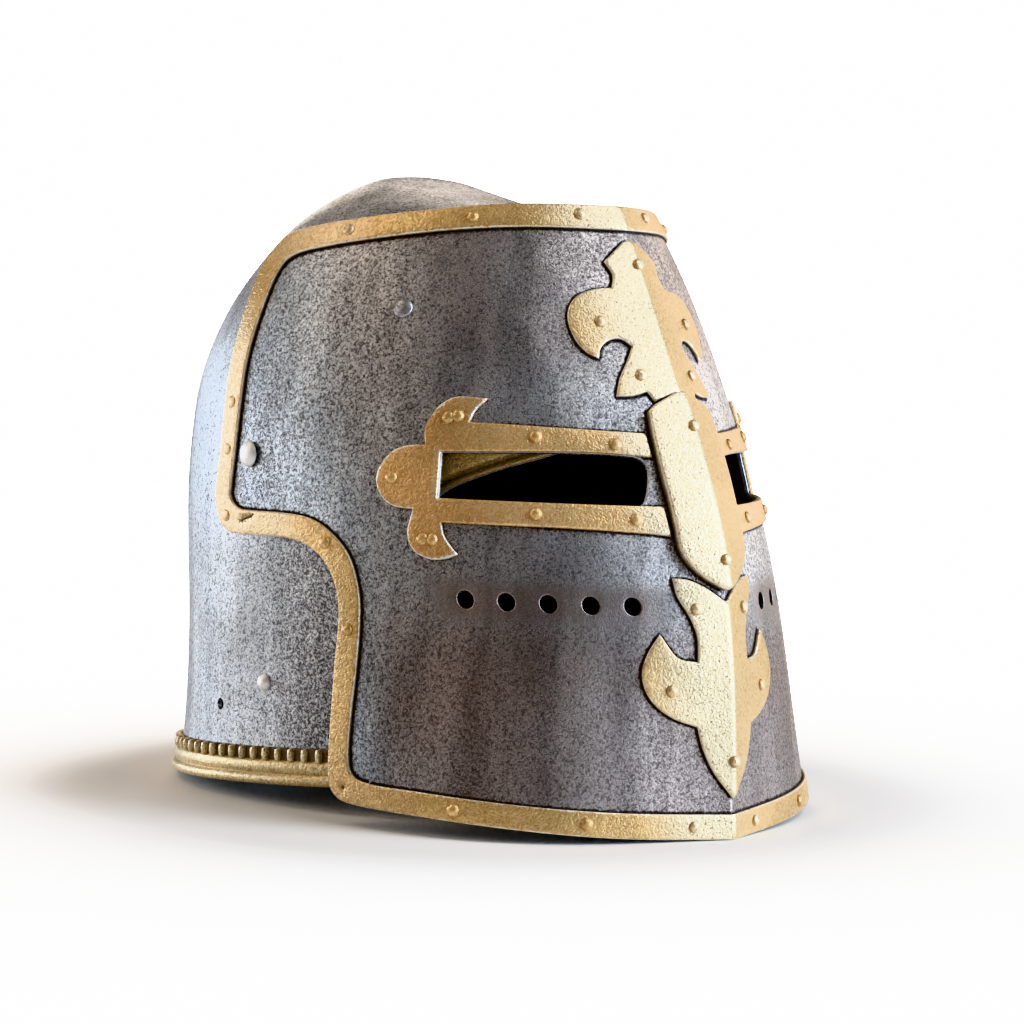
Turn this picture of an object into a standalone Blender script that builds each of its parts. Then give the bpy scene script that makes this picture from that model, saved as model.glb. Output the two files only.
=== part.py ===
"""Great helm with a face plate that lifts on a rivet at each side.

Metres, +Z up. The face looks along -Y and the wearer's right is -X. The helm stands on
z = 0, on the tip of the face plate's hem and the back of the neck band. Its tables are
level with the face plate, and STANCE then leans the whole helm into that standing pose.

Every sheet of the face plate is drawn flat and then bent round the helm. Its two flat
coordinates are the reach, measured round the helm from the centre ridge, and the height.
"""
import math

import bmesh
import bpy
import numpy as np
from mathutils import Matrix, Vector
from mathutils.geometry import delaunay_2d_cdt

MM = 0.001

# Driving dimensions in millimetres
WIDEST_Y = 46.0
VISOR_WALL = 2.0
SKULL_WALL = 2.0
SEAT_GAP = 0.35
BORDER_RISE = 1.6
CROSS_RISE = 1.6
NOSE_RISE = 4.4
TRIM_RISE = 1.6
VISOR_GRID = 19.0
TRIM_GRID = 9.0
OUTLINE_STEP = 12.0
TRIM_STEP = 7.0
OPENING_GRID = 12.0
OPENING_STEP = 9.0
OPENING_TOOL_LIFT = -14.0
OPENING_TOOL_DEPTH = 30.0
SKULL_TURNS_FRONT = 10
SKULL_TURNS_BACK = 9
SHARP_ANGLE_DEG = 35.0

LEAN_DEG = 1.5
LEAN_LIFT = 3.36

PIVOT_Y = 22.0
PIVOT_Z = 146.5
PIVOT_HEAD_RADIUS = 5.6
PIVOT_HEAD_RISE = 3.2
PIVOT_SHANK_RADIUS = 2.5
PIVOT_HOLE_RADIUS = 3.0
PIVOT_SHOULDER_X = 117.4
PIVOT_TAIL_X = 104.3

BREATH_HOLES = 5
BREATH_FIRST_REACH = 39.1
BREATH_PITCH = 17.1
BREATH_HEIGHT = 94.5
BREATH_RADIUS = 3.6

NECK_RIBS_PER_SIDE = 28
NECK_RIB_DEPTH = 1.5
RIM_HEIGHT = 6.3
RIM_SLOPE = 0.085
RIM_LEVEL_BELOW = 20.0
RIM_FADES_BY = 75.0

# The face plate's level sections, from the hem up. nose is how far the ridge stands in
# front of the origin, crease the slope of the plate at the ridge in degrees, and the two
# pulls say how far the curve holds on to its direction at the ridge and at the side.
FACE_SECTIONS = {
    "height":     [0.0, 60.0, 120.0, 180.0, 255.0],
    "nose":       [162.0, 157.6, 145.0, 117.3, 76.3],
    "crease":     [20.0, 20.8, 17.7, 15.2, 12.0],
    "front_pull": [0.600, 0.557, 0.509, 0.489, 0.521],
    "side_pull":  [0.897, 0.764, 0.636, 0.536, 0.511],
}
FACE_WIDTHS = {
    "height":     [-10.0, 133.0, 155.0, 175.0, 195.0, 215.0, 236.0, 254.0, 270.0],
    "half_width": [118.0, 118.0, 117.3, 115.5, 111.5, 104.5, 93.5, 80.0, 66.0],
}

# The skull's sections, from the rim to just below the crown. nose is measured forward of
# the origin, back from the widest point. Near the rim they tilt with the neck band.
SKULL_SECTIONS = {
    "height":     [0.0, 24.0, 62.0, 100.0, 130.0, 155.0, 175.0, 195.0, 213.0, 228.0,
                   241.0, 252.0, 261.0, 267.5, 270.8],
    "nose":       [97.0, 96.5, 96.0, 96.0, 96.0, 95.5, 94.0, 88.5, 79.0, 67.0,
                   50.0, 22.0, -15.0, -45.0, -57.0],
    "half_width": [111.3, 109.4, 109.0, 110.8, 111.6, 110.0, 106.8, 100.6, 91.5, 81.5,
                   71.0, 59.0, 45.4, 31.0, 18.0],
    "widest_y":   [46.0, 46.0, 46.0, 46.0, 46.0, 46.0, 46.0, 46.0, 47.0, 48.0,
                   50.0, 52.0, 54.0, 57.0, 59.0],
    "back":       [114.5, 112.5, 111.5, 112.0, 112.4, 111.5, 110.0, 103.4, 94.0, 82.0,
                   68.0, 53.0, 36.0, 20.5, 10.4],
}
SKULL_PULL = 0.56
CROWN = (0.0, 60.0, 272.0)

# Flat outlines as (reach, height) in millimetres. Each run starts and ends at a corner
# and is a smooth curve in between, and each next run starts where the last one ends.
VISOR_OUTLINE = [
    [(0, 1.0), (42, 2.2), (95, 5.4), (130, 6.6), (166, 7.0), (176.5, 9.6), (179.6, 17.0),
     (177.4, 35.0), (172.4, 63.0), (168.2, 82.0), (168.0, 94.0), (172.5, 104.5),
     (181.4, 110.8), (194, 112.9), (212, 112.4), (226, 112.0), (235.0, 113.8),
     (238.2, 120.5), (236.3, 130.0), (225.9, 149.0), (216.5, 167.0), (206.0, 186.0),
     (192.5, 207.0), (178.5, 226.5), (169.5, 234.5), (158, 241.0), (141, 244.5),
     (122.6, 247.1), (88.6, 251.4), (42.1, 256.1), (0, 256.9)],
    [(0, 256.9), (0, 1.0)],
]
BORDER_INNER = [
    [(0, 11.2), (42, 12.4), (95, 15.2), (130, 16.4), (156, 16.6), (165.6, 19.0),
     (167.6, 26.0), (165.4, 41.0), (161.0, 61.0), (157.4, 80.0), (156.2, 94.0),
     (159.0, 108.0), (167.3, 117.4), (178, 122.2), (194, 123.2), (212, 122.8),
     (222.0, 123.2), (226.0, 127.4), (223.6, 134.0), (214.5, 150.5), (205.0, 168.0),
     (194.5, 187.0), (181.0, 207.0), (168.0, 224.0), (157.0, 231.5), (136.3, 235.8),
     (101.7, 240.7), (70.9, 244.3), (40.0, 246.4), (0, 246.6)],
]
EYE_SLIT = [
    [(27.0, 153.9), (40.4, 154.6), (65, 154.4), (105.6, 152.7)],
    [(105.6, 152.7), (111.8, 134.1)],
    [(111.8, 134.1), (68, 134.2), (30.5, 134.2)],
    [(30.5, 134.2), (27.6, 135.6), (24.8, 140.8), (22.5, 148.6), (23.6, 152.4),
     (27.0, 153.9)],
]
EYE_FRAME = [
    [(19.4, 162.9), (54.4, 164.2), (78.4, 164.9), (90.8, 165.0)],
    [(90.8, 165.0), (86.8, 170.0), (80.4, 174.8)],
    [(80.4, 174.8), (92.8, 175.2), (101.2, 171.6), (107.6, 165.6), (111.0, 160.8),
     (112.4, 155.2)],
    [(112.4, 155.2), (118.8, 154.8), (125.6, 153.0), (132.0, 148.8), (136.9, 143.4),
     (138.7, 138.8), (138.2, 134.4), (135.8, 131.1), (131.6, 129.3), (124.4, 129.1)],
    [(124.4, 129.1), (126.6, 124.8), (128.7, 120.0), (128.6, 114.8), (125.8, 111.2),
     (120.0, 109.3), (113.4, 110.0), (108.0, 112.0)],
    [(108.0, 112.0), (110.6, 115.4), (112.7, 119.6), (112.8, 124.4)],
    [(112.8, 124.4), (64, 124.5), (32.4, 123.4), (19.2, 122.3)],
    [(19.2, 122.3), (19.8, 134.0)],
    [(19.8, 134.0), (68, 134.2), (113.2, 134.1)],
    [(113.2, 134.1), (107.0, 152.7)],
    [(107.0, 152.7), (65, 154.4), (40.4, 154.6), (19.5, 153.5)],
    [(19.5, 153.5), (19.4, 162.9)],
]
NOSE_PLATE = [
    [(0, 179.3), (4.8, 177.4), (12.4, 173.9)],
    [(12.4, 173.9), (16.2, 171.2)],
    [(16.2, 171.2), (17.2, 163.8), (17.7, 155.8), (18.0, 145.8), (17.7, 136.2),
     (17.6, 124.6), (17.2, 116.8), (14.0, 110.8), (8.4, 105.6), (0, 101.0)],
    [(0, 101.0), (0, 179.3)],
]
CROSS_TOP = [
    [(0, 242.6), (3.4, 241.3)],
    [(3.4, 241.3), (14.6, 232.8)],
    [(14.6, 232.8), (12.6, 227.6), (14.8, 222.1)],
    [(14.8, 222.1), (23.8, 220.9), (32.4, 217.0), (37.6, 209.6), (37.6, 201.0),
     (34.6, 195.4), (29.7, 192.6)],
    [(29.7, 192.6), (27.6, 197.0), (22.6, 200.4), (17.6, 200.8), (13.9, 198.1)],
    [(13.9, 198.1), (18.4, 191.6), (23.4, 185.0), (27.2, 177.5)],
    [(27.2, 177.5), (20.0, 177.9), (13.3, 179.7)],
    [(13.3, 179.7), (11.2, 175.9)],
    [(11.2, 175.9), (0, 180.0)],
    [(0, 180.0), (0, 242.6)],
]
CROSS_BOTTOM = [
    [(0, 96.6), (8.0, 102.2), (15.0, 105.2), (21.8, 105.8)],
    [(21.8, 105.8), (20.6, 98.5), (16.2, 90.6), (13.6, 82.4), (14.0, 72.6)],
    [(14.0, 72.6), (22.6, 74.4), (29.4, 83.6)],
    [(29.4, 83.6), (35.4, 75.2), (37.9, 66.4), (34.7, 57.3), (26.2, 50.4), (15.3, 46.5)],
    [(15.3, 46.5), (12.9, 37.3), (8.2, 27.9), (0, 17.6)],
    [(0, 17.6), (0, 96.6)],
]
FACE_OPENING = [
    [(0, 157.0), (27, 154.0), (46, 149.0), (67, 142.5), (87, 132.0), (99, 115.0),
     (104, 92.0), (106, 60.0), (108, -12.0)],
    [(108, -12.0), (0, -12.0)],
    [(0, -12.0), (0, 157.0)],
]
FACE_OPENING_TRIM = [
    [(0, 157.0), (27, 154.0), (46, 149.0), (67, 142.5), (87, 132.0), (99, 115.0),
     (104, 92.0), (106, 60.0), (107.6, 18.5)],
    [(107.6, 18.5), (118.6, 18.5)],
    [(118.6, 18.5), (117.0, 60.0), (115.0, 95.0), (109.5, 120.0), (96, 140.5),
     (74, 152.8), (51, 160.0), (30, 165.0), (0, 168.0)],
    [(0, 168.0), (0, 157.0)],
]

# Small rivet heads on the gold pieces: the (reach, height) of each
BORDER_RIVETS = [
    (18.5, 252.2), (64.1, 249.4), (123.5, 242.4), (165.0, 231.5), (186.0, 207.5),
    (210.4, 168.0), (220.8, 147.8), (231.4, 119.2), (210.5, 117.4), (170.6, 112.6),
    (163.6, 78.0), (170.4, 43.2), (171.4, 14.6), (116.2, 10.9), (62.7, 8.4), (17.2, 6.6),
]
EYE_FRAME_RIVETS = [
    (95.7, 167.6), (130.1, 141.0), (118.6, 117.2), (64.0, 158.2), (33.6, 157.6),
    (71.7, 129.2), (34.0, 128.6),
]
CROSS_TOP_RIVETS = [(0, 234.4), (26.4, 208.4), (15.4, 187.0)]
NOSE_RIVETS = [(0, 165.0), (0, 112.6)]
CROSS_BOTTOM_RIVETS = [(14.0, 95.4), (26.3, 61.8), (0, 33.4)]
SMALL_RIVET_RADIUS = 2.1
SMALL_RIVET_RISE = 1.1
SMALL_RIVET_SINK = 0.7
SMALL_RIVET_SIDES = 6

CHEEK_BOSS = (106.3, 210.9)
CHEEK_BOSS_RADIUS = 4.2
CHEEK_BOSS_RISE = 1.5
SKULL_RIVET_REACH = 172.3
SKULL_RIVET_HEIGHT = 45.5
SKULL_RIVET_RADIUS = 3.8
SKULL_RIVET_RISE = 2.4
STRAP_HOLE_Y = 51.3
STRAP_HOLE_Z = 34.7
STRAP_HOLE_RADIUS = 2.6
DRILL_LENGTH = 300.0

# Profile of the neck band as (distance out from the skull, height), with the share of
# the rib depth that each point takes
NECK_PROFILE = {
    "out":    [0.35, 2.4, 3.2, 3.1, 2.4, 2.5, 3.6, 3.4, 0.35],
    "height": [0.0, 0.0, 1.8, 4.4, 5.2, 10.0, 10.8, 15.4, 15.8],
    "rib":    [0.0, 0.0, 0.0, 0.0, 0.0, 0.0, 1.0, 1.0, 0.0],
}

SILVER = {"colour": (0.36, 0.35, 0.34, 1.0), "metallic": 1.0, "roughness": 0.38}
GOLD = {"colour": (0.72, 0.52, 0.26, 1.0), "metallic": 1.0, "roughness": 0.33}


def clear_scene():
    for item in list(bpy.data.objects):
        bpy.data.objects.remove(item, do_unlink=True)


def new_collection(name):
    group = bpy.data.collections.new(name)
    bpy.context.scene.collection.children.link(group)
    return group


def new_material(name, look):
    material = bpy.data.materials.new(name)
    material.use_nodes = True
    shader = material.node_tree.nodes["Principled BSDF"]
    shader.inputs["Base Color"].default_value = look["colour"]
    shader.inputs["Metallic"].default_value = look["metallic"]
    shader.inputs["Roughness"].default_value = look["roughness"]
    material.diffuse_color = look["colour"]
    return material


def table_value(table, column, at):
    """Smooth value of a table's column at a height, by a cubic through its rows."""
    rows = table["height"]
    values = table[column]
    i = int(np.clip(np.searchsorted(rows, at) - 1, 0, len(rows) - 2))
    span = rows[i + 1] - rows[i]
    u = (at - rows[i]) / span

    def slope(k):
        low = max(k - 1, 0)
        high = min(k + 1, len(rows) - 1)
        return (values[high] - values[low]) / (rows[high] - rows[low])

    if u < 0.0:
        return values[0] + slope(0) * (at - rows[0])
    start = (1 + 2 * u) * (1 - u) ** 2 * values[i] + u * (1 - u) ** 2 * span * slope(i)
    end = u * u * (3 - 2 * u) * values[i + 1] + u * u * (u - 1) * span * slope(i + 1)
    return start + end


def face_row(height):
    row = {name: table_value(FACE_SECTIONS, name, height) for name in FACE_SECTIONS}
    row["half_width"] = table_value(FACE_WIDTHS, "half_width", height)
    row.update(back=row["half_width"], widest_y=WIDEST_Y)
    return row


def skull_row(height):
    row = {name: table_value(SKULL_SECTIONS, name, height) for name in SKULL_SECTIONS}
    row.update(crease=0.0, front_pull=SKULL_PULL, side_pull=SKULL_PULL)
    return row


def section_xy(row, turn):
    """Points of a half section: turn 0 is the ridge, 1 the side and 2 the back."""
    turn = np.asarray(turn, float)
    width = row["half_width"]
    widest = row["widest_y"]
    length = row["nose"] + widest
    slope = math.tan(math.radians(row["crease"]))
    hold = row["front_pull"] * width
    xs = (0.0, hold, width, width)
    front = -row["nose"]
    ys = (front, front + hold * slope, widest - row["side_pull"] * length, widest)
    u = np.clip(turn, 0.0, 1.0)
    weights = ((1 - u) ** 3, 3 * (1 - u) ** 2 * u, 3 * (1 - u) * u * u, u ** 3)
    x = sum(w * c for w, c in zip(weights, xs))
    y = sum(w * c for w, c in zip(weights, ys))
    swing = np.clip(turn - 1.0, 0.0, 1.0) * math.pi / 2
    x = np.where(turn > 1.0, width * np.cos(swing), x)
    y = np.where(turn > 1.0, widest + row["back"] * np.sin(swing), y)
    return x, y


def rim_shift(height, y):
    """How far the tilt of the rim moves a point of the skull up, fading with height."""
    fade = (RIM_FADES_BY - height) / (RIM_FADES_BY - RIM_LEVEL_BELOW)
    return np.clip(fade, 0.0, 1.0) * (RIM_HEIGHT - RIM_SLOPE * y)


def section_points(make_row, height, turns):
    """Points of a half section on the wearer's right, in millimetres."""
    x, y = section_xy(make_row(height), turns)
    z = np.full_like(y, height)
    if make_row is skull_row:
        z = z + rim_shift(height, y)
    return [Vector(point) for point in zip(-x, y, z)]


def turn_at(row, reach):
    """Turn of the section point that lies the given reach from the ridge."""
    turns = np.linspace(0.0, 2.0, 161)
    x, y = section_xy(row, turns)
    lengths = np.concatenate([[0.0], np.cumsum(np.hypot(np.diff(x), np.diff(y)))])
    return float(np.interp(reach, lengths, turns))


def outward(make_row, height, turn):
    """Point of the surface, and the way out from it."""
    small = 1e-3
    point, beside = section_points(make_row, height, [turn, turn + small])
    above = section_points(make_row, height + small, [turn])[0]
    normal = (above - point).cross(beside - point).normalized()
    if normal.dot(Vector((point.x, point.y - WIDEST_Y, 0.0))) < 0.0:
        normal.negate()
    return point, normal


def bent_point(make_row, reach, height, lift):
    """Place on the wearer's right of a flat point, lifted out from the bent surface."""
    point, normal = outward(make_row, height, turn_at(make_row(height), reach))
    if reach < 1e-6:
        normal.x = 0.0
        normal /= normal.length_squared
    return point + normal * lift


def smooth_run(points, step):
    """Points about a step apart on a Catmull-Rom curve through the given points."""
    pts = [Vector(p) for p in points]
    if len(pts) == 2:
        count = max(1, round((pts[1] - pts[0]).length / step))
        return [pts[0].lerp(pts[1], k / count) for k in range(count)]
    pts = [2 * pts[0] - pts[1]] + pts + [2 * pts[-1] - pts[-2]]
    out = []
    for i in range(1, len(pts) - 2):
        before, start, end, after = pts[i - 1:i + 3]
        count = max(1, round((end - start).length / step))
        for k in range(count):
            u = k / count
            first = (end - before) / 2
            last = (after - start) / 2
            out.append((1 + 2 * u) * (1 - u) ** 2 * start + u * (1 - u) ** 2 * first
                       + u * u * (3 - 2 * u) * end + u * u * (u - 1) * last)
    return out


def flat_loop(runs, step=OUTLINE_STEP):
    return [point for run in runs for point in smooth_run(run, step)]


def circle_loop(centre, radius, sides):
    return [Vector((centre[0] + radius * math.cos(2 * math.pi * k / sides),
                    centre[1] + radius * math.sin(2 * math.pi * k / sides)))
            for k in range(sides)]


def inside(loop, point):
    """Whether a flat point lies inside a closed loop, by counting crossings."""
    odd = False
    for a, b in zip(loop, loop[1:] + loop[:1]):
        if (a.y > point.y) != (b.y > point.y):
            cross_x = a.x + (point.y - a.y) / (b.y - a.y) * (b.x - a.x)
            if cross_x > point.x:
                odd = not odd
    return odd


def edge_distance(loop, point):
    """Least distance from a flat point to a closed loop."""
    best = 1e9
    for a, b in zip(loop, loop[1:] + loop[:1]):
        edge = b - a
        along = max(0.0, min(1.0, (point - a).dot(edge) / max(edge.length_squared, 1e-9)))
        best = min(best, (point - a - edge * along).length)
    return best


def lattice_points(outer, holes, spacing):
    """Staggered points inside the outer loop, outside the holes, clear of all edges."""
    xs = [p.x for p in outer]
    ys = [p.y for p in outer]
    found = []
    rows = int((max(ys) - min(ys)) / (spacing * 0.87)) + 1
    columns = int((max(xs) - min(xs)) / spacing) + 2
    for j in range(rows):
        for i in range(columns):
            point = Vector((min(xs) + (i + 0.5 * (j % 2)) * spacing,
                            min(ys) + (j + 0.5) * spacing * 0.87))
            if not inside(outer, point) or any(inside(h, point) for h in holes):
                continue
            if min(edge_distance(loop, point) for loop in [outer] + holes) > 0.45 * spacing:
                found.append(point)
    return found


def flat_triangles(outer, holes, spacing):
    """Triangles that fill the outer loop but not the holes, as points and index triples."""
    loops = [outer] + holes
    points = []
    edges = []
    for loop in loops:
        start = len(points)
        points += loop
        edges += [(start + k, start + (k + 1) % len(loop)) for k in range(len(loop))]
    points += lattice_points(outer, holes, spacing)
    result = delaunay_2d_cdt(points, edges, [], 0, 1e-4)
    verts = [Vector(v) for v in result[0]]
    kept = []
    for face in result[2]:
        middle = sum((verts[i] for i in face), Vector((0, 0))) / len(face)
        if inside(outer, middle) and not any(inside(h, middle) for h in holes):
            a, b, c = (verts[i] for i in face)
            turned_left = (b - a).x * (c - a).y - (b - a).y * (c - a).x > 0
            kept.append(tuple(reversed(face)) if turned_left else tuple(face))
    return verts, kept


def stance():
    """Turn and lift in millimetres from the tables' frame to the standing pose."""
    lean = Matrix.Rotation(math.radians(LEAN_DEG), 4, "X")
    return Matrix.Translation((0.0, 0.0, LEAN_LIFT)) @ lean


def mesh_object(name, bm, group, material, placed=True):
    """Object of a mesh in millimetres, stood in its place unless placed is false."""
    mesh = bpy.data.meshes.new(name)
    bm.to_mesh(mesh)
    bm.free()
    if placed:
        mesh.transform(stance())
    mesh.transform(Matrix.Scale(MM, 4))
    mesh.materials.append(material)
    mesh.shade_smooth()
    mesh.set_sharp_from_angle(angle=math.radians(SHARP_ANGLE_DEG))
    item = bpy.data.objects.new(name, mesh)
    group.objects.link(item)
    return item


def add_mirror(item):
    """Whole piece from its half on the wearer's right, which is open at the ridge."""
    mirror = item.modifiers.new("both_sides", "MIRROR")
    mirror.use_axis = (True, False, False)
    mirror.use_clip = True
    mirror.merge_threshold = 0.0001


def add_wall(item, thickness, outward):
    wall = item.modifiers.new("wall", "SOLIDIFY")
    wall.thickness = thickness * MM
    wall.offset = 1.0 if outward else -1.0
    wall.use_even_offset = True


def add_boolean(item, tool, operation):
    cut = item.modifiers.new(operation.lower(), "BOOLEAN")
    cut.operation = operation
    cut.object = tool
    cut.solver = "EXACT"


def hide_tool(tool):
    tool.hide_render = True
    tool.display_type = "WIRE"


def bent_sheet(name, outer, holes, lift, thickness, outward, spacing, group, material,
               make_row=face_row, whole=True):
    """A sheet drawn flat, bent round the helm and given its wall."""
    verts, faces = flat_triangles(outer, holes, spacing)
    bm = bmesh.new()
    placed = [bm.verts.new(bent_point(make_row, max(v.x, 0.0), v.y, lift)) for v in verts]
    for face in faces:
        bm.faces.new([placed[i] for i in face])
    loose = [v for v in bm.verts if not v.link_faces]
    bmesh.ops.delete(bm, geom=loose, context="VERTS")
    item = mesh_object(name, bm, group, material)
    if whole:
        add_mirror(item)
    add_wall(item, thickness, outward)
    return item


def rivet_head(bm, base, axis):
    """A low rivet head on a base point: a short drum that goes below it, then a dome."""
    sides = SMALL_RIVET_SIDES
    rings = [(-SMALL_RIVET_SINK, 1.0), (0.45 * SMALL_RIVET_RISE, 0.88)]
    turn = axis.to_track_quat("Z", "Y").to_matrix()
    loops = []
    for out, share in rings:
        corners = circle_loop((0.0, 0.0), SMALL_RIVET_RADIUS * share, sides)
        ring = [Vector((corner.x, corner.y, out)) for corner in corners]
        loops.append([bm.verts.new(base + turn @ p) for p in ring])
    for low, high in zip(loops, loops[1:]):
        for k in range(sides):
            n = (k + 1) % sides
            bm.faces.new((low[k], low[n], high[n], high[k]))
    bm.faces.new(list(reversed(loops[0])))
    top = bm.verts.new(base + turn @ Vector((0, 0, SMALL_RIVET_RISE)))
    for k in range(sides):
        bm.faces.new((loops[-1][k], loops[-1][(k + 1) % sides], top))


def surface_axis(make_row, reach, height, lift):
    """Point on a bent surface and the way out from it."""
    point = bent_point(make_row, reach, height, lift)
    return point, (bent_point(make_row, reach, height, lift + 1.0) - point).normalized()


def other_side(vector):
    return Vector((-vector.x, vector.y, vector.z))


def add_rivet_heads(item, places, lift, tools, sides_shown):
    """Small domes cast on a gold piece, joined to it on each side asked for."""
    bm = bmesh.new()
    for reach, height in places:
        base, axis = surface_axis(face_row, reach, height, lift)
        if "right" in sides_shown or reach == 0:
            rivet_head(bm, base, axis)
        if "left" in sides_shown and reach > 0:
            rivet_head(bm, other_side(base), other_side(axis))
    heads = mesh_object(item.name + "_heads", bm, tools, item.data.materials[0])
    hide_tool(heads)
    add_boolean(item, heads, "UNION")


def breath_hole_loops():
    return [circle_loop((BREATH_FIRST_REACH + k * BREATH_PITCH, BREATH_HEIGHT),
                        BREATH_RADIUS, 10)
            for k in range(BREATH_HOLES)]


def side_drill(name, y, z, radius, tools, material):
    """A cylinder right across the helm, to cut both sides."""
    bm = bmesh.new()
    place = Matrix.Translation((0, y, z)) @ Matrix.Rotation(math.pi / 2, 4, "Y")
    bmesh.ops.create_cone(bm, cap_ends=True, segments=14, radius1=radius, radius2=radius,
                          depth=DRILL_LENGTH, matrix=place)
    drill = mesh_object(name, bm, tools, material)
    hide_tool(drill)
    return drill


def build_visor_plate(group, tools, silver):
    holes = breath_hole_loops() + [flat_loop(EYE_SLIT)]
    plate = bent_sheet("visor_plate", flat_loop(VISOR_OUTLINE), holes, 0.0, VISOR_WALL,
                       False, VISOR_GRID, group, silver)
    add_boolean(plate, side_drill("pivot_drill_face", PIVOT_Y, PIVOT_Z, PIVOT_HOLE_RADIUS,
                                  tools, silver), "DIFFERENCE")
    return plate


def build_visor_border(group, tools, gold):
    """Raised edging all round the face plate, from the plate's outline inwards."""
    outer = flat_loop(VISOR_OUTLINE[:1])
    inner = flat_loop(BORDER_INNER)
    top = [Vector(VISOR_OUTLINE[0][-1]), Vector(BORDER_INNER[0][-1])]
    loop = outer + [top[0], top[1]] + list(reversed(inner))
    border = bent_sheet("visor_border", loop, [], SEAT_GAP, BORDER_RISE, True, TRIM_GRID,
                        group, gold)
    add_rivet_heads(border, BORDER_RIVETS, SEAT_GAP + BORDER_RISE, tools,
                    ("right", "left"))
    return border


def build_ridge_piece(name, runs, rivets, rise, group, tools, gold):
    """A gold piece that straddles the centre ridge, with its rivet heads."""
    piece = bent_sheet(name, flat_loop(runs, TRIM_STEP), [], SEAT_GAP, rise, True, TRIM_GRID,
                       group, gold)
    add_rivet_heads(piece, rivets, SEAT_GAP + rise, tools, ("right", "left"))
    return piece


def build_eye_frame(side, group, tools, gold):
    """Gold frame round one eye slit: two bars joined by a trefoil towards the ear."""
    frame = bent_sheet("eye_frame_" + side, flat_loop(EYE_FRAME, TRIM_STEP),
                       [], SEAT_GAP, CROSS_RISE, True, TRIM_GRID, group, gold,
                       whole=False)
    if side == "left":
        frame.data.transform(Matrix.Scale(-1, 4, Vector((1, 0, 0))))
        frame.data.flip_normals()
    add_rivet_heads(frame, EYE_FRAME_RIVETS, SEAT_GAP + CROSS_RISE, tools, (side,))
    return frame


def skull_heights():
    """Heights of the skull's rings: every row of its table and one between."""
    rows = SKULL_SECTIONS["height"]
    heights = []
    for low, high in zip(rows, rows[1:]):
        heights.append(low)
        if high > 150.0 and high - low > 12.0:
            heights.append((low + high) / 2)
    return heights + [rows[-1]]


def build_skull_shell(group, tools, silver):
    """Hollow skull: half rings of the skull's sections, closed by a fan at the crown."""
    turns = np.concatenate([np.linspace(0.0, 1.0, SKULL_TURNS_FRONT),
                            np.linspace(1.0, 2.0, SKULL_TURNS_BACK)[1:]])
    bm = bmesh.new()
    rings = []
    for height in skull_heights():
        ring = section_points(skull_row, height, turns)
        ring[0].x = 0.0
        ring[-1].x = 0.0
        rings.append([bm.verts.new(point) for point in ring])
    for low, high in zip(rings, rings[1:]):
        for k in range(len(turns) - 1):
            bm.faces.new((low[k + 1], low[k], high[k], high[k + 1]))
    crown = bm.verts.new(CROWN)
    for k in range(len(turns) - 1):
        bm.faces.new((rings[-1][k + 1], rings[-1][k], crown))
    skull = mesh_object("skull_shell", bm, group, silver)
    add_mirror(skull)
    add_wall(skull, SKULL_WALL, False)
    opening = bent_sheet("face_opening_tool", flat_loop(FACE_OPENING, OPENING_STEP), [],
                         OPENING_TOOL_LIFT, OPENING_TOOL_DEPTH, True, 2 * OPENING_GRID,
                         tools, silver, make_row=skull_row)
    hide_tool(opening)
    add_boolean(skull, opening, "DIFFERENCE")
    for name, y, z, radius in (
            ("pivot_drill_skull", PIVOT_Y, PIVOT_Z, PIVOT_HOLE_RADIUS),
            ("strap_drill", STRAP_HOLE_Y, STRAP_HOLE_Z, STRAP_HOLE_RADIUS)):
        add_boolean(skull, side_drill(name, y, z, radius, tools, silver), "DIFFERENCE")
    return skull


def build_face_opening_trim(group, gold):
    return bent_sheet("face_opening_trim", flat_loop(FACE_OPENING_TRIM, OPENING_STEP), [],
                      SEAT_GAP, TRIM_RISE, True, OPENING_GRID, group, gold,
                      make_row=skull_row)


def neck_path():
    """Turns round the skull from the face opening to the back, evenly spaced."""
    row = skull_row(0.0)
    turns = np.linspace(0.0, 2.0, 401)
    x, y = section_xy(row, turns)
    lengths = np.concatenate([[0.0], np.cumsum(np.hypot(np.diff(x), np.diff(y)))])
    start = FACE_OPENING[0][-1][0] + 1.5
    places = np.linspace(start, lengths[-1], 2 * NECK_RIBS_PER_SIDE + 1)
    return np.interp(places, lengths, turns)


def build_neck_band(group, gold):
    """Gold band swept round the skull's foot, its upper row swelling into ribs."""
    bm = bmesh.new()
    loops = []
    for k, turn in enumerate(neck_path()):
        loop = []
        for out, height, rib in zip(*NECK_PROFILE.values()):
            point, normal = outward(skull_row, height, min(turn, 2.0 - 1e-3))
            normal.z = 0.0
            point += normal.normalized() * (out - rib * NECK_RIB_DEPTH * (k % 2))
            point.z = height + float(rim_shift(height, point.y))
            if turn > 1.999:
                point.x = 0.0
            loop.append(bm.verts.new(point))
        loops.append(loop)
    count = len(loops[0])
    for here, there in zip(loops, loops[1:]):
        for i in range(count):
            n = (i + 1) % count
            bm.faces.new((here[i], here[n], there[n], there[i]))
    bm.faces.new(loops[0])
    bmesh.ops.recalc_face_normals(bm, faces=bm.faces)
    band = mesh_object("neck_band", bm, group, gold)
    add_mirror(band)
    return band


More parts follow.
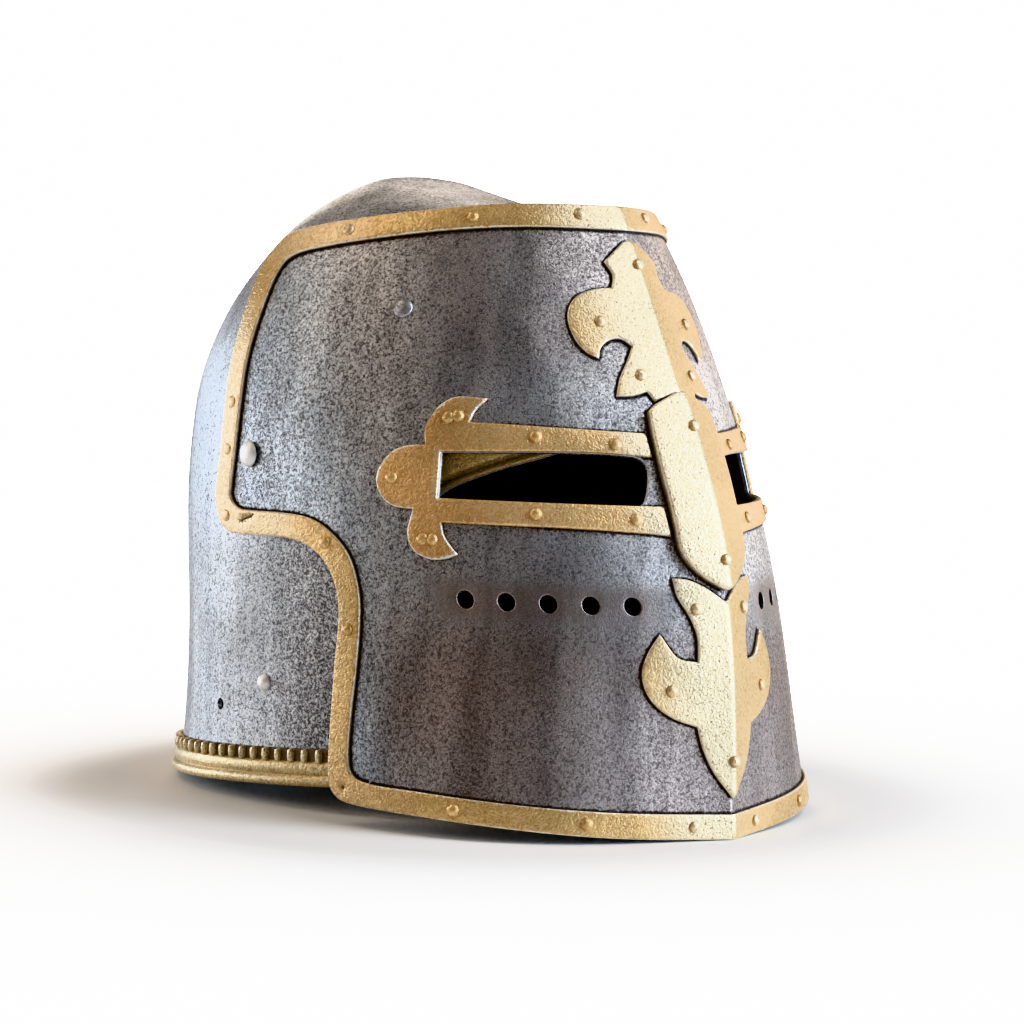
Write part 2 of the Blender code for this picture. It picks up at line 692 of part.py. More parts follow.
def turned_rivet(name, profile, place, axis, group, material, sides=14):
    """A rivet turned from a profile of (radius, distance out), closed at both ends."""
    bm = bmesh.new()
    line = [bm.verts.new((radius, 0.0, out)) for radius, out in profile]
    for low, high in zip(line, line[1:]):
        bm.edges.new((low, high))
    rivet = mesh_object(name, bm, group, material, placed=False)
    turn = rivet.modifiers.new("turned", "SCREW")
    turn.steps = sides
    turn.render_steps = sides
    turn.use_merge_vertices = True
    turn.merge_threshold = 0.0001
    turn.use_smooth_shade = True
    rivet.location = (stance() @ place) * MM
    rivet.rotation_euler = (stance().to_3x3() @ axis).to_track_quat("Z", "Y").to_euler()
    return rivet


def build_pivot_rivets(group, silver):
    """The two rivets on the hinge line, headed outside and spread inside the skull."""
    head = PIVOT_HEAD_RADIUS
    rise = PIVOT_HEAD_RISE
    depth = PIVOT_SHOULDER_X - PIVOT_TAIL_X
    profile = [(0.0, rise), (0.45 * head, 0.9 * rise), (0.78 * head, 0.55 * rise),
               (0.86 * head, 0.38 * rise), (head, 0.36 * rise), (head, 0.0),
               (PIVOT_SHANK_RADIUS, 0.0), (PIVOT_SHANK_RADIUS, 1.4 - depth),
               (1.6 * PIVOT_SHANK_RADIUS, 1.2 - depth), (1.3 * PIVOT_SHANK_RADIUS, -depth),
               (0.0, -depth)]
    for side, sign in (("right", -1.0), ("left", 1.0)):
        place = Vector((sign * PIVOT_SHOULDER_X, PIVOT_Y, PIVOT_Z))
        turned_rivet("pivot_rivet_" + side, profile, place, Vector((sign, 0, 0)), group,
                     silver)


def build_domed_stud(name, make_row, reach, height, radius, rise, left, group, silver):
    """A low domed stud, seated just clear of the sheet under it."""
    base, axis = surface_axis(make_row, reach, height, SEAT_GAP)
    if left:
        base = other_side(base)
        axis = other_side(axis)
    profile = [(0.0, rise), (0.5 * radius, 0.84 * rise), (0.85 * radius, 0.42 * rise),
               (radius, 0.1), (radius, 0.0), (0.0, 0.0)]
    turned_rivet(name, profile, base, axis, group, silver, 12)


def main():
    clear_scene()
    group = new_collection("great_helm")
    tools = new_collection("cutters")
    silver = new_material("aged_silver", SILVER)
    gold = new_material("aged_gold", GOLD)
    build_skull_shell(group, tools, silver)
    build_neck_band(group, gold)
    build_face_opening_trim(group, gold)
    build_visor_plate(group, tools, silver)
    build_visor_border(group, tools, gold)
    build_ridge_piece("cross_top", CROSS_TOP, CROSS_TOP_RIVETS, CROSS_RISE, group, tools,
                      gold)
    build_ridge_piece("nose_plate", NOSE_PLATE, NOSE_RIVETS, NOSE_RISE, group, tools, gold)
    build_ridge_piece("cross_bottom", CROSS_BOTTOM, CROSS_BOTTOM_RIVETS, CROSS_RISE, group,
                      tools, gold)
    build_eye_frame("right", group, tools, gold)
    build_eye_frame("left", group, tools, gold)
    build_pivot_rivets(group, silver)
    for side in ("right", "left"):
        build_domed_stud("skull_rivet_" + side, skull_row, SKULL_RIVET_REACH,
                         SKULL_RIVET_HEIGHT, SKULL_RIVET_RADIUS, SKULL_RIVET_RISE,
                         side == "left", group, silver)
    build_domed_stud("cheek_boss", face_row, CHEEK_BOSS[0], CHEEK_BOSS[1],
                     CHEEK_BOSS_RADIUS, CHEEK_BOSS_RISE, False, group, silver)


main()
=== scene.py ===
# %% [markdown]
# # A great helm with a lifting face plate
#
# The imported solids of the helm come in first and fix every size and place. On top of them
# this lesson builds the pieces again with finer surfaces, gives them aged silver and gilt
# finishes, and sets up a plain studio to look at them in.

# %% Load the frame
import math

import bmesh
import bpy
import numpy as np
from mathutils import Matrix, Vector
from mathutils.geometry import delaunay_2d_cdt


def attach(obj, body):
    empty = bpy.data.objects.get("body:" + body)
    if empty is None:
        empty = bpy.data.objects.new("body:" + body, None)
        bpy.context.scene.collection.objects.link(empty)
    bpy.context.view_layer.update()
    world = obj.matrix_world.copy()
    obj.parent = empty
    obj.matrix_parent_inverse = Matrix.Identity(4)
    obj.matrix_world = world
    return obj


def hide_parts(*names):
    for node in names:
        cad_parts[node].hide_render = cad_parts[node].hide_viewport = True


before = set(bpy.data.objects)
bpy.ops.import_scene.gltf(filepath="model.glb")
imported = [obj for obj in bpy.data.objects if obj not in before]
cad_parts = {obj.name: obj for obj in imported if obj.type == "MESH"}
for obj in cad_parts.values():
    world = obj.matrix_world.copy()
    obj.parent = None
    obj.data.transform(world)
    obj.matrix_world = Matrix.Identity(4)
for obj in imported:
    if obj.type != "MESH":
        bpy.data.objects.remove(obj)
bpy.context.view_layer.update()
MM = 0.001
print("solids:", sorted(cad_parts))

# %% [markdown]
# ## Camera
#
# The camera stands low, ahead of the wearer's right cheek, about 1.2 m away. Its place and
# its three directions were worked out once from the outline of the real piece.

# %% Camera
CAMERA_PLACE = (-0.76636, -0.96366, 0.18521)
CAMERA_RIGHT = (0.77802, -0.62790, 0.02046)
CAMERA_UP = (0.01479, 0.05088, 0.99860)
CAMERA_BACK = (-0.62806, -0.77663, 0.04887)
FOCAL_PIXELS = 2745.4
IMAGE_PIXELS = 1024.0
SENSOR_WIDTH = 36.0


def placed(name, data):
    """A new object in the scene."""
    thing = bpy.data.objects.new(name, data)
    bpy.context.scene.collection.objects.link(thing)
    return thing


camera_data = bpy.data.cameras.new("studio_camera")
camera_data.sensor_width = SENSOR_WIDTH
camera_data.lens = SENSOR_WIDTH * FOCAL_PIXELS / IMAGE_PIXELS
camera = placed("studio_camera", camera_data)
axes = Matrix((CAMERA_RIGHT, CAMERA_UP, CAMERA_BACK)).transposed()
camera.matrix_world = Matrix.Translation(CAMERA_PLACE) @ axes.to_4x4()
bpy.context.scene.camera = camera
print("lens in mm:", round(camera_data.lens, 1))

# %% [markdown]
# ## The helm's own shape, as tables
#
# A helm is raised from sheet over stakes, so its shape is a stack of smooth sections. Two
# short tables hold them: one for the face plate and one for the skull. A natural cubic
# spline runs through the rows, because light running over polished metal shows every
# place where a curve changes its bend too suddenly.

# %% Section tables, in millimetres
FACE_ROWS = {
    "height":     [0.0, 60.0, 120.0, 180.0, 255.0],
    "nose":       [162.0, 157.6, 145.0, 117.3, 76.3],
    "crease":     [20.0, 20.8, 17.7, 15.2, 12.0],
    "front_pull": [0.600, 0.557, 0.509, 0.489, 0.521],
    "side_pull":  [0.897, 0.764, 0.636, 0.536, 0.511],
}
FACE_WIDTHS = {
    "height":     [-10.0, 60.0, 133.0, 155.0, 175.0, 195.0, 215.0, 236.0, 254.0, 270.0],
    "half_width": [118.0, 118.0, 118.0, 117.3, 115.5, 111.5, 104.5, 93.5, 80.0, 66.0],
}
SKULL_ROWS = {
    "row":        list(range(16)),
    "height":     [0.0, 24.0, 62.0, 100.0, 130.0, 155.0, 175.0, 195.0, 213.0, 228.0,
                   241.0, 252.0, 261.0, 267.5, 270.8, 272.0],
    "nose":       [97.0, 96.5, 96.0, 96.0, 96.0, 95.5, 94.0, 88.5, 79.0, 67.0,
                   50.0, 22.0, -15.0, -45.0, -57.0, -60.0],
    "half_width": [111.3, 109.4, 109.0, 110.8, 111.6, 110.0, 106.8, 100.6, 91.5, 81.5,
                   71.0, 59.0, 45.4, 31.0, 18.0, 0.0],
    "widest_y":   [46.0, 46.0, 46.0, 46.0, 46.0, 46.0, 46.0, 46.0, 47.0, 48.0,
                   50.0, 52.0, 54.0, 57.0, 59.0, 60.0],
    "back":       [114.5, 112.5, 111.5, 112.0, 112.4, 111.5, 110.0, 103.4, 94.0, 82.0,
                   68.0, 53.0, 36.0, 20.5, 10.4, 0.0],
}
CROWN_ROW = 15.0
CROWN = (0.0, 60.0, 272.0)
WIDEST_Y = 46.0
MIDDLE = np.array([0.0, WIDEST_Y, 100.0])
SKULL_PULL = 0.56
RIM_HEIGHT = 6.3
RIM_SLOPE = 0.085
RIM_LEVEL_BELOW = 20.0
RIM_FADES_BY = 75.0
LEAN_DEG = 1.5
LEAN_LIFT = 3.36
TINY = 1e-6
SAME_PLACE = 1e-7
ROW_SAMPLES = 601
TURN_SAMPLES = 161
RIM_SAMPLES = 801


def spline(xs, ys, at):
    """Natural cubic spline through the points (xs, ys), carried on straight outside."""
    xs = np.asarray(xs, float)
    ys = np.asarray(ys, float)
    at = np.asarray(at, float)
    gap = np.diff(xs)
    slope = np.diff(ys) / gap
    count = len(xs)
    system = np.eye(count)
    right = np.zeros(count)
    for k in range(1, count - 1):
        system[k, k - 1:k + 2] = gap[k - 1], 2 * (gap[k - 1] + gap[k]), gap[k]
        right[k] = 6 * (slope[k] - slope[k - 1])
    bend = np.linalg.solve(system, right)
    k = np.clip(np.searchsorted(xs, at) - 1, 0, count - 2)
    within = np.clip(at, xs[0], xs[-1])
    a = (xs[k + 1] - within) / gap[k]
    b = 1 - a
    value = (a * ys[k] + b * ys[k + 1]
             + ((a ** 3 - a) * bend[k] + (b ** 3 - b) * bend[k + 1]) * gap[k] ** 2 / 6)
    first = slope[0] - gap[0] * (2 * bend[0] + bend[1]) / 6
    last = slope[-1] + gap[-1] * (bend[-2] + 2 * bend[-1]) / 6
    return value + np.minimum(at - xs[0], 0) * first + np.maximum(at - xs[-1], 0) * last


print("nose of the face plate at 150 mm:",
      round(float(spline(FACE_ROWS["height"], FACE_ROWS["nose"], 150.0)), 1))

# %% [markdown]
# ## From a flat pattern to the bent sheet
#
# An armourer cuts a pattern flat and then bends it. The helpers here do the same: a point
# of the pattern is (reach, height), where reach is measured round the helm from the
# centre ridge. Half of each section is one Bezier curve from the ridge to the widest
# place, and a quarter of an ellipse behind it.


# %% Sections of the helm
def face_section(height):
    rows = {name: spline(FACE_ROWS["height"], FACE_ROWS[name], height)
            for name in ("nose", "crease", "front_pull", "side_pull")}
    rows["half_width"] = spline(FACE_WIDTHS["height"], FACE_WIDTHS["half_width"], height)
    rows["back"] = rows["half_width"]
    rows["widest_y"] = np.full_like(rows["nose"], WIDEST_Y)
    rows["z"] = np.asarray(height, float)
    return rows


def skull_row_at(height):
    rows = np.linspace(0.0, CROWN_ROW, ROW_SAMPLES)
    return np.interp(height, spline(SKULL_ROWS["row"], SKULL_ROWS["height"], rows), rows)


def skull_section_of_row(row):
    rows = {name: spline(SKULL_ROWS["row"], SKULL_ROWS[name], row)
            for name in ("nose", "half_width", "widest_y", "back")}
    rows["z"] = spline(SKULL_ROWS["row"], SKULL_ROWS["height"], row)
    rows["crease"] = np.zeros_like(rows["nose"])
    rows["front_pull"] = np.full_like(rows["nose"], SKULL_PULL)
    rows["side_pull"] = rows["front_pull"]
    return rows


def skull_section(height):
    return skull_section_of_row(skull_row_at(height))


def section_points(rows, turn):
    """x, y, z of section points: turn 0 is the ridge, 1 the side and 2 the back."""
    width = rows["half_width"]
    widest = rows["widest_y"]
    hold = rows["front_pull"] * width
    front = -rows["nose"]
    near = front + hold * np.tan(np.radians(rows["crease"]))
    far = widest - rows["side_pull"] * (rows["nose"] + widest)
    u = np.clip(turn, 0.0, 1.0)
    swing = np.clip(turn - 1.0, 0.0, 1.0) * math.pi / 2
    x = 3 * (1 - u) ** 2 * u * hold + (3 * (1 - u) * u * u + u ** 3) * width
    y = ((1 - u) ** 3 * front + 3 * (1 - u) ** 2 * u * near + 3 * (1 - u) * u * u * far
         + u ** 3 * widest)
    x = np.where(turn > 1.0, width * np.cos(swing), x)
    y = np.where(turn > 1.0, widest + rows["back"] * np.sin(swing), y)
    return -x, y, rows["z"] + np.zeros_like(x)


def rim_shift(z, y):
    """How much the skull's rim is lifted in front and lowered behind."""
    fade = np.clip((RIM_FADES_BY - z) / (RIM_FADES_BY - RIM_LEVEL_BELOW), 0.0, 1.0)
    return fade * (RIM_HEIGHT - RIM_SLOPE * y)


def face_surface(turn, height):
    return np.stack(section_points(face_section(height), turn), -1)


def tilted(rows, turn):
    x, y, z = section_points(rows, turn)
    return np.stack([x, y, z + rim_shift(z, y)], -1)


def skull_surface(turn, height):
    return tilted(skull_section(height), turn)


def dome_surface(turn, row):
    return tilted(skull_section_of_row(row), turn)


# %% Bending helpers
def lengths_round(section, level, turns):
    """Length round the section at each level, up to each of the turns."""
    rows = {name: value[:, None] for name, value in section(level).items()}
    x, y, _ = section_points(rows, turns[None, :])
    steps = np.hypot(np.diff(x, axis=1), np.diff(y, axis=1))
    return np.concatenate([np.zeros((len(x), 1)), np.cumsum(steps, axis=1)], axis=1)


def turn_at(section, level, reach):
    """Turn of each point that lies the given reach round its own section."""
    turns = np.linspace(0.0, 2.0, TURN_SAMPLES)
    lengths = lengths_round(section, level, turns)
    k = np.clip((lengths < reach[:, None]).sum(1) - 1, 0, len(turns) - 2)
    i = np.arange(len(lengths))
    share = (reach - lengths[i, k]) / np.maximum(lengths[i, k + 1] - lengths[i, k], 1e-9)
    turn = turns[k] + np.clip(share, 0.0, 1.0) * (turns[1] - turns[0])
    return np.where(reach < TINY, 0.0, turn)


def unit(ways):
    return ways / np.maximum(np.linalg.norm(ways, axis=-1), 1e-12)[..., None]


def on_seam(turn):
    """Which points lie on the ridge or on the middle of the back."""
    return (turn < TINY) | (turn > 2.0 - TINY)


def lifted(surface, turn, level, lift):
    """Surface points raised along the way out, mitred on the centre ridge."""
    small = 1e-3
    at = surface(turn, level)
    ahead = np.minimum(turn + small, 2.0)
    behind = np.maximum(ahead - 2 * small, 0.0)
    along = surface(ahead, level) - surface(behind, level)
    along = np.where((turn < small)[:, None], surface(turn + small, level) - at, along)
    upward = surface(turn, level + small) - surface(turn, level - small)
    way = unit(np.cross(upward, along))
    way *= np.where((way * (at - MIDDLE)).sum(1) < 0.0, -1.0, 1.0)[:, None]
    seam = on_seam(turn)
    way[seam, 0] = 0.0
    way[seam] /= np.maximum((way[seam] ** 2).sum(1), 0.2)[:, None]
    return at + way * np.asarray(lift)[..., None], way


def stand(points):
    """Millimetres of the tables to metres of the standing helm."""
    lean = math.radians(LEAN_DEG)
    x, y, z = points[..., 0], points[..., 1], points[..., 2]
    return np.stack([x, y * math.cos(lean) - z * math.sin(lean),
                     z * math.cos(lean) + y * math.sin(lean) + LEAN_LIFT], -1) * MM


def stand_direction(way):
    return unit((stand(way) - stand(np.zeros(3))) / MM)


def mirrored(points):
    return points * np.array([-1.0, 1.0, 1.0])


FACE = (face_section, face_surface)
SKULL = (skull_section, skull_surface)


def seated(form, flat, lift):
    """Standing points and ways out of (reach, height) places, raised above a form."""
    section, surface = form
    turn = turn_at(section, flat[:, 1], flat[:, 0])
    points, ways = lifted(surface, turn, flat[:, 1], lift)
    return stand(points), stand_direction(ways)


print("tip of the hem in metres:", np.round(stand(face_surface(np.zeros(1), np.ones(1))), 4))

# %% [markdown]
# ## Drawing the patterns
#
# The outlines are read off the real piece as a few points between corners. A smooth curve
# through each run keeps the arcs soft and the cusps of the ornament sharp. A run ends
# where the next one begins, so a run of one point is a straight edge.

# %% Flat outlines, as (reach, height) in millimetres
PLATE_TOP = (0, 256.9)
PLATE_OUTER = [
    (0, 1.0), (42, 2.2), (95, 5.4), (130, 6.6), (166, 7.0), (176.5, 9.6), (179.6, 17.0),
    (177.4, 35.0), (172.4, 63.0), (168.2, 82.0), (168.0, 94.0), (172.5, 104.5),
    (181.4, 110.8), (194, 112.9), (212, 112.4), (226, 112.0), (235.0, 113.8),
    (238.2, 120.5), (236.3, 130.0), (225.9, 149.0), (216.5, 167.0), (206.0, 186.0),
    (192.5, 207.0), (178.5, 226.5), (169.5, 234.5), (158, 241.0), (141, 244.5),
    (122.6, 247.1), (88.6, 251.4), (42.1, 256.1)]
EDGING_FOOT = (0, 11.2)
EDGING_TOP = (0, 246.6)
EDGING_INNER = [
    (42, 12.4), (95, 15.2), (130, 16.4), (156, 16.6), (165.6, 19.0), (167.6, 26.0),
    (165.4, 41.0), (161.0, 61.0), (157.4, 80.0), (156.2, 94.0), (159.0, 108.0),
    (167.3, 117.4), (178, 122.2), (194, 123.2), (212, 122.8), (222.0, 123.2),
    (226.0, 127.4), (223.6, 134.0), (214.5, 150.5), (205.0, 168.0), (194.5, 187.0),
    (181.0, 207.0), (168.0, 224.0), (157.0, 231.5), (136.3, 235.8), (101.7, 240.7),
    (70.9, 244.3), (40.0, 246.4)]
PLATE = [PLATE_OUTER, [PLATE_TOP]]
EDGING = [PLATE_OUTER, [PLATE_TOP], [EDGING_TOP] + EDGING_INNER[::-1], [EDGING_FOOT]]
EYE_SLIT = [
    [(27.0, 153.9), (40.4, 154.6), (65, 154.4)],
    [(106.3, 152.7)],
    [(112.5, 134.1), (68, 134.2)],
    [(30.5, 134.2), (27.6, 135.6), (24.8, 140.8), (22.5, 148.6), (23.6, 152.4)],
]
SLIT_END_FOOT = (112.6, 134.1)
SLIT_END_TOP = (106.4, 152.7)
EYE_FRAME = [
    [(19.4, 162.9), (54.4, 164.2), (78.4, 164.9)],
    [(90.8, 165.0), (86.8, 170.0)],
    [(80.4, 174.8), (92.8, 175.2), (101.2, 171.6), (107.6, 165.6), (111.0, 160.8)],
    [(112.4, 155.2), (118.8, 154.8), (125.6, 153.0), (132.0, 148.8), (136.9, 143.4),
     (138.7, 138.8), (138.2, 134.4), (135.8, 131.1), (131.6, 129.3)],
    [(124.4, 129.1), (126.6, 124.8), (128.7, 120.0), (128.6, 114.8), (125.8, 111.2),
     (120.0, 109.3), (113.4, 110.0)],
    [(108.0, 112.0), (110.6, 115.4), (112.7, 119.6)],
    [(112.8, 124.4), (64, 124.5), (32.4, 123.4)],
    [(19.2, 122.3)],
    [(19.8, 134.0), (68, 134.2)],
    [SLIT_END_FOOT],
    [SLIT_END_TOP, (65, 154.4), (40.4, 154.6)],
    [(19.5, 153.5)],
]
NOSE_PLATE = [
    [(0, 179.3), (4.8, 177.4)],
    [(12.4, 173.9)],
    [(16.2, 171.2), (17.2, 163.8), (17.7, 155.8), (18.0, 145.8), (17.7, 136.2),
     (17.6, 124.6), (17.2, 116.8), (14.0, 110.8), (8.4, 105.6)],
    [(0, 101.0)],
]
CROSS_UPPER = [
    [(0, 242.6)],
    [(3.4, 241.3)],
    [(14.6, 232.8), (12.6, 227.6)],
    [(14.8, 222.1), (23.8, 220.9), (32.4, 217.0), (37.6, 209.6), (37.6, 201.0),
     (34.6, 195.4)],
    [(29.7, 192.6), (27.6, 197.0), (22.6, 200.4), (17.6, 200.8)],
    [(13.9, 198.1), (18.4, 191.6), (23.4, 185.0)],
    [(27.2, 177.5), (20.0, 177.9)],
    [(13.3, 179.7)],
    [(11.2, 175.9)],
    [(0, 180.0)],
]
CROSS_LOWER = [
    [(0, 96.6), (8.0, 102.2), (15.0, 105.2)],
    [(21.8, 105.8), (20.6, 98.5), (16.2, 90.6), (13.6, 82.4)],
    [(14.0, 72.6), (22.6, 74.4)],
    [(29.4, 83.6), (35.4, 75.2), (37.9, 66.4), (34.7, 57.3), (26.2, 50.4)],
    [(15.3, 46.5), (12.9, 37.3), (8.2, 27.9)],
    [(0, 17.6)],
]
OPENING_EDGE = [(0, 158.2), (27, 155.6), (46, 150.6), (67, 143.8), (87, 134.0),
                (99, 117.0), (104, 92.0), (106, 60.0)]
TRIM_FOOT = (107.6, 18.5)
OPENING_TRIM = [
    OPENING_EDGE,
    [TRIM_FOOT],
    [(118.6, 18.5), (117.0, 60.0), (115.5, 95.0), (111.5, 122.0), (98, 143.5),
     (75, 155.8), (52, 162.5), (30, 166.5)],
    [(0, 168.5)],
]


# %% Loops from the outlines
def smooth_run(points, step):
    """Points about a step apart on a Catmull-Rom curve, without its last point."""
    pts = np.array(points, float)
    if len(pts) == 2:
        count = max(1, round(float(np.linalg.norm(pts[1] - pts[0])) / step))
        u = np.arange(count)[:, None] / count
        return pts[0] * (1 - u) + pts[1] * u
    pts = np.vstack([2 * pts[0] - pts[1], pts, 2 * pts[-1] - pts[-2]])
    out = []
    for before, start, end, after in zip(pts, pts[1:], pts[2:], pts[3:]):
        count = max(1, round(float(np.linalg.norm(end - start)) / step))
        u = np.arange(count)[:, None] / count
        out.append((1 + 2 * u) * (1 - u) ** 2 * start + u * (1 - u) ** 2 * (end - before) / 2
                   + u * u * (3 - 2 * u) * end + u * u * (u - 1) * (after - start) / 2)
    return np.vstack(out)


def loop_of(runs, step):
    """A closed loop of runs, each of which ends where the next one begins."""
    return np.vstack([smooth_run(run + after[:1], step)
                      for run, after in zip(runs, runs[1:] + runs[:1])])


def circle(centre, radius, sides):
    a = np.arange(sides) * 2 * math.pi / sides
    return np.stack([centre[0] + radius * np.cos(a), centre[1] + radius * np.sin(a)], -1)


def inside(loop, points):
    """Which points lie inside a closed loop, by counting crossings."""
    a = loop
    b = np.roll(loop, -1, axis=0)
    px = points[:, 0:1]
    py = points[:, 1:2]
    with np.errstate(divide="ignore", invalid="ignore"):
        cross = a[:, 0] + (py - a[:, 1]) / (b[:, 1] - a[:, 1]) * (b[:, 0] - a[:, 0])
    hit = ((a[:, 1] > py) != (b[:, 1] > py)) & (cross > px)
    return hit.sum(1) % 2 == 1


def from_edge(points, a, b):
    """How far each point is from the edge a to b, and how far along its nearest place is."""
    edge = np.subtract(b, a)
    share = np.clip((points - a) @ edge / max(edge @ edge, 1e-12), 0.0, 1.0)
    gap = points - a - share[:, None] * edge
    return np.hypot(gap[:, 0], gap[:, 1]), share


def distance_to(loops, points):
    """Least distance from each point to the closed loops, the centre ridge left out."""
    best = np.full(len(points), np.inf)
    for loop in loops:
        for a, b in zip(loop, np.roll(loop, -1, axis=0)):
            if max(a[0], b[0]) > TINY:
                best = np.minimum(best, from_edge(points, a, b)[0])
    return best


def offset_loop(loop, amount):
    """A closed loop moved inwards by an amount, or outwards by a negative one."""
    ahead = np.roll(loop, -1, axis=0) - loop
    way = unit(unit(ahead) + unit(np.roll(ahead, 1, axis=0)))
    x, y = loop.T
    area = (x * np.roll(y, -1) - np.roll(x, -1) * y).sum()
    side = np.stack([-way[:, 1], way[:, 0]], -1) * (1.0 if area > 0 else -1.0)
    return loop + side * amount


print("points on the outline of the plate:", len(loop_of(PLATE, 2.0)))

# %% [markdown]
# ## Turning a pattern into a sheet of metal
#
# The pattern is filled with triangles that keep its outline, and every point is bent onto
# the helm. A sheet's upper face is lowered a little near its edge, which gives the soft,
# worn edge of cast and hammered metal without any modifier. Rows of points beside the
# outline carry that curve, and a row beside the centre ridge keeps the ridge narrow. Each
# sheet also stores how far every point is from its edge, so that the finishes can wear the
# edges, and on the sight frame light them with a painted highlight; its walls are darkened
# with dirt and painted shade.

# %% Filling a pattern
RIDGE_ROWS = (0.8, 2.0)
ROW_SHARE = 0.87
CLEAR_SHARE = 0.4
BESIDE_SHARE = 0.8


def beside(loops, amount):
    """Points beside the loops, on the side where the sheet is."""
    rows = np.vstack([offset_loop(loops[0], amount)]
                     + [offset_loop(hole, -amount) for hole in loops[1:]])
    rows = rows[rows[:, 0] > 0.5]
    rows = rows[inside(loops[0], rows)]
    return rows[distance_to(loops, rows) > BESIDE_SHARE * amount]


def fill_pattern(outer, holes, spacing, margins=(), extra=None, ridge_rows=()):
    """Points and triangles that fill a pattern, keeping its outline and holes."""
    loops = [outer] + holes
    points = np.vstack(loops)
    edges = []
    start = 0
    for loop in loops:
        edges += [(start + k, start + (k + 1) % len(loop)) for k in range(len(loop))]
        start += len(loop)
    kept = [points] + [beside(loops, margin) for margin in margins]
    kept += [outer[outer[:, 0] < TINY] + [row, 0.0] for row in ridge_rows]
    if extra is not None:
        kept.append(extra)
    low, high = outer.min(0), outer.max(0)
    across = np.arange(low[0] + spacing, high[0], spacing)
    up = np.arange(low[1], high[1], ROW_SHARE * spacing)
    grid = np.array([(x + 0.5 * spacing * (j % 2), y)
                     for j, y in enumerate(up) for x in across])
    grid = grid[inside(outer, grid)]
    clear = CLEAR_SHARE * spacing
    grid = grid[distance_to(loops, grid) > max(margins, default=0.0) + clear]
    if ridge_rows:
        grid = grid[grid[:, 0] > max(ridge_rows) + clear]
    points = np.vstack(kept + [grid])
    result = delaunay_2d_cdt([Vector(p) for p in points], edges, [], 0, 1e-4)
    verts = np.array([(v.x, v.y) for v in result[0]])
    faces = np.array([f for f in result[2] if len(f) == 3])
    middle = verts[faces].mean(1)
    keep = inside(outer, middle)
    for hole in holes:
        keep &= ~inside(hole, middle)
    faces = faces[keep]
    used, renumbered = np.unique(faces, return_inverse=True)
    return verts[used], renumbered.reshape(faces.shape)


# %% Building the sheet's mesh
LEFT_SHARES = {"pale_rub_and_highlight": (0.15, 0.0), "painted_light_and_shade": (1.16, 0.0), "coolness": (1.0, 0.35)}
MARGIN_SHARES = (0.22, 0.55, 1.0)
UNDER_EDGE = 4.0
FAR_EDGE = 9.0
SHARP_DEG = 55.0


def on_left(key, value):
    """A stored value as it is on the wearer's left, the far side: the gilding keeps little of
    its pale highlight, the plate is painted lighter and its tint is cooler.
    """
    share, added = LEFT_SHARES.get(key, (1.0, 0.0))
    return value * share + added


def joined_twins(top, bottom, faces, values):
    """Merges points that fell on the same place, such as those of a pole."""
    keys = np.round(top / SAME_PLACE).astype(np.int64)
    _, first, back = np.unique(keys, axis=0, return_index=True, return_inverse=True)
    faces = back.reshape(-1)[faces]
    real = ((faces[:, 0] != faces[:, 1]) & (faces[:, 1] != faces[:, 2])
            & (faces[:, 2] != faces[:, 0]))
    return top[first], bottom[first], faces[real], {k: v[first] for k, v in values.items()}


def store(mesh, name, value):
    """Stores one value for each point of a mesh."""
    layer = mesh.attributes.get(name) or mesh.attributes.new(name, "FLOAT", "POINT")
    layer.data.foreach_set("value", np.asarray(value, np.float32))


def soften(mesh, sharp_deg=SHARP_DEG):
    """Shades a mesh smooth, apart from its sharp edges."""
    mesh.shade_smooth()
    mesh.set_sharp_from_angle(angle=math.radians(sharp_deg))
    return mesh


def thick_mesh(name, top, bottom, faces, whole, values, wall_dirt_and_shade=0.0,
               painted_shade_on_left_walls=False):
    """Closed mesh between an upper and a lower face, mirrored over the ridge if whole."""
    top, bottom, faces, values = joined_twins(top, bottom, faces, values)
    if whole:
        count = len(top)
        seam = np.abs(top[:, 0]) < SAME_PLACE
        other = np.where(seam, np.arange(count), count + np.cumsum(~seam) - 1)
        top = np.vstack([top, mirrored(top)[~seam]])
        bottom = np.vstack([bottom, mirrored(bottom)[~seam]])
        faces = np.vstack([faces, other[faces][:, ::-1]])
        values = {k: np.concatenate([v, on_left(k, v[~seam])]) for k, v in values.items()}
    a, b, c = (top[faces[:, i]] for i in range(3))
    outward = (a + b + c) / 3 - MIDDLE * MM
    if (np.cross(b - a, c - a) * outward).sum() < 0:
        faces = faces[:, ::-1]
    count = len(top)
    sides = {(f[i], f[(i + 1) % 3]) for f in faces.tolist() for i in range(3)}
    walls = [(b, a, a + count, b + count) for a, b in sorted(sides) if (b, a) not in sides]
    mesh = bpy.data.meshes.new(name)
    under = (faces[:, ::-1] + count).tolist()
    mesh.from_pydata(np.vstack([top, bottom]).tolist(), [], faces.tolist() + under + walls)
    for key, value in values.items():
        below = value
        if key == "edge_distance":
            below = value + UNDER_EDGE
        # Walls and lower face take the wall's dirt and painted shade.
        if key == "dirt_and_painted_shade":
            below = np.maximum(value, wall_dirt_and_shade)
        store(mesh, key, np.concatenate([value, below]))
    inner = np.zeros(len(mesh.polygons), dtype=np.int32)
    inner[len(faces):2 * len(faces)] = 1
    # Painted shade: walls on the wearer's left get the black inside finish.
    if painted_shade_on_left_walls:
        inner[2 * len(faces):] = [top[wall[1], 0] > 0.0 for wall in walls]
    mesh.polygons.foreach_set("material_index", inner)
    return soften(mesh)


def edge_fall(distance, drop, width):
    """How much a sheet's face is lowered near its edge: a quarter-round."""
    u = np.clip(1.0 - distance / width, 0.0, 1.0)
    return drop * (1.0 - np.sqrt(np.clip(1.0 - u * u, 0.0, 1.0)))


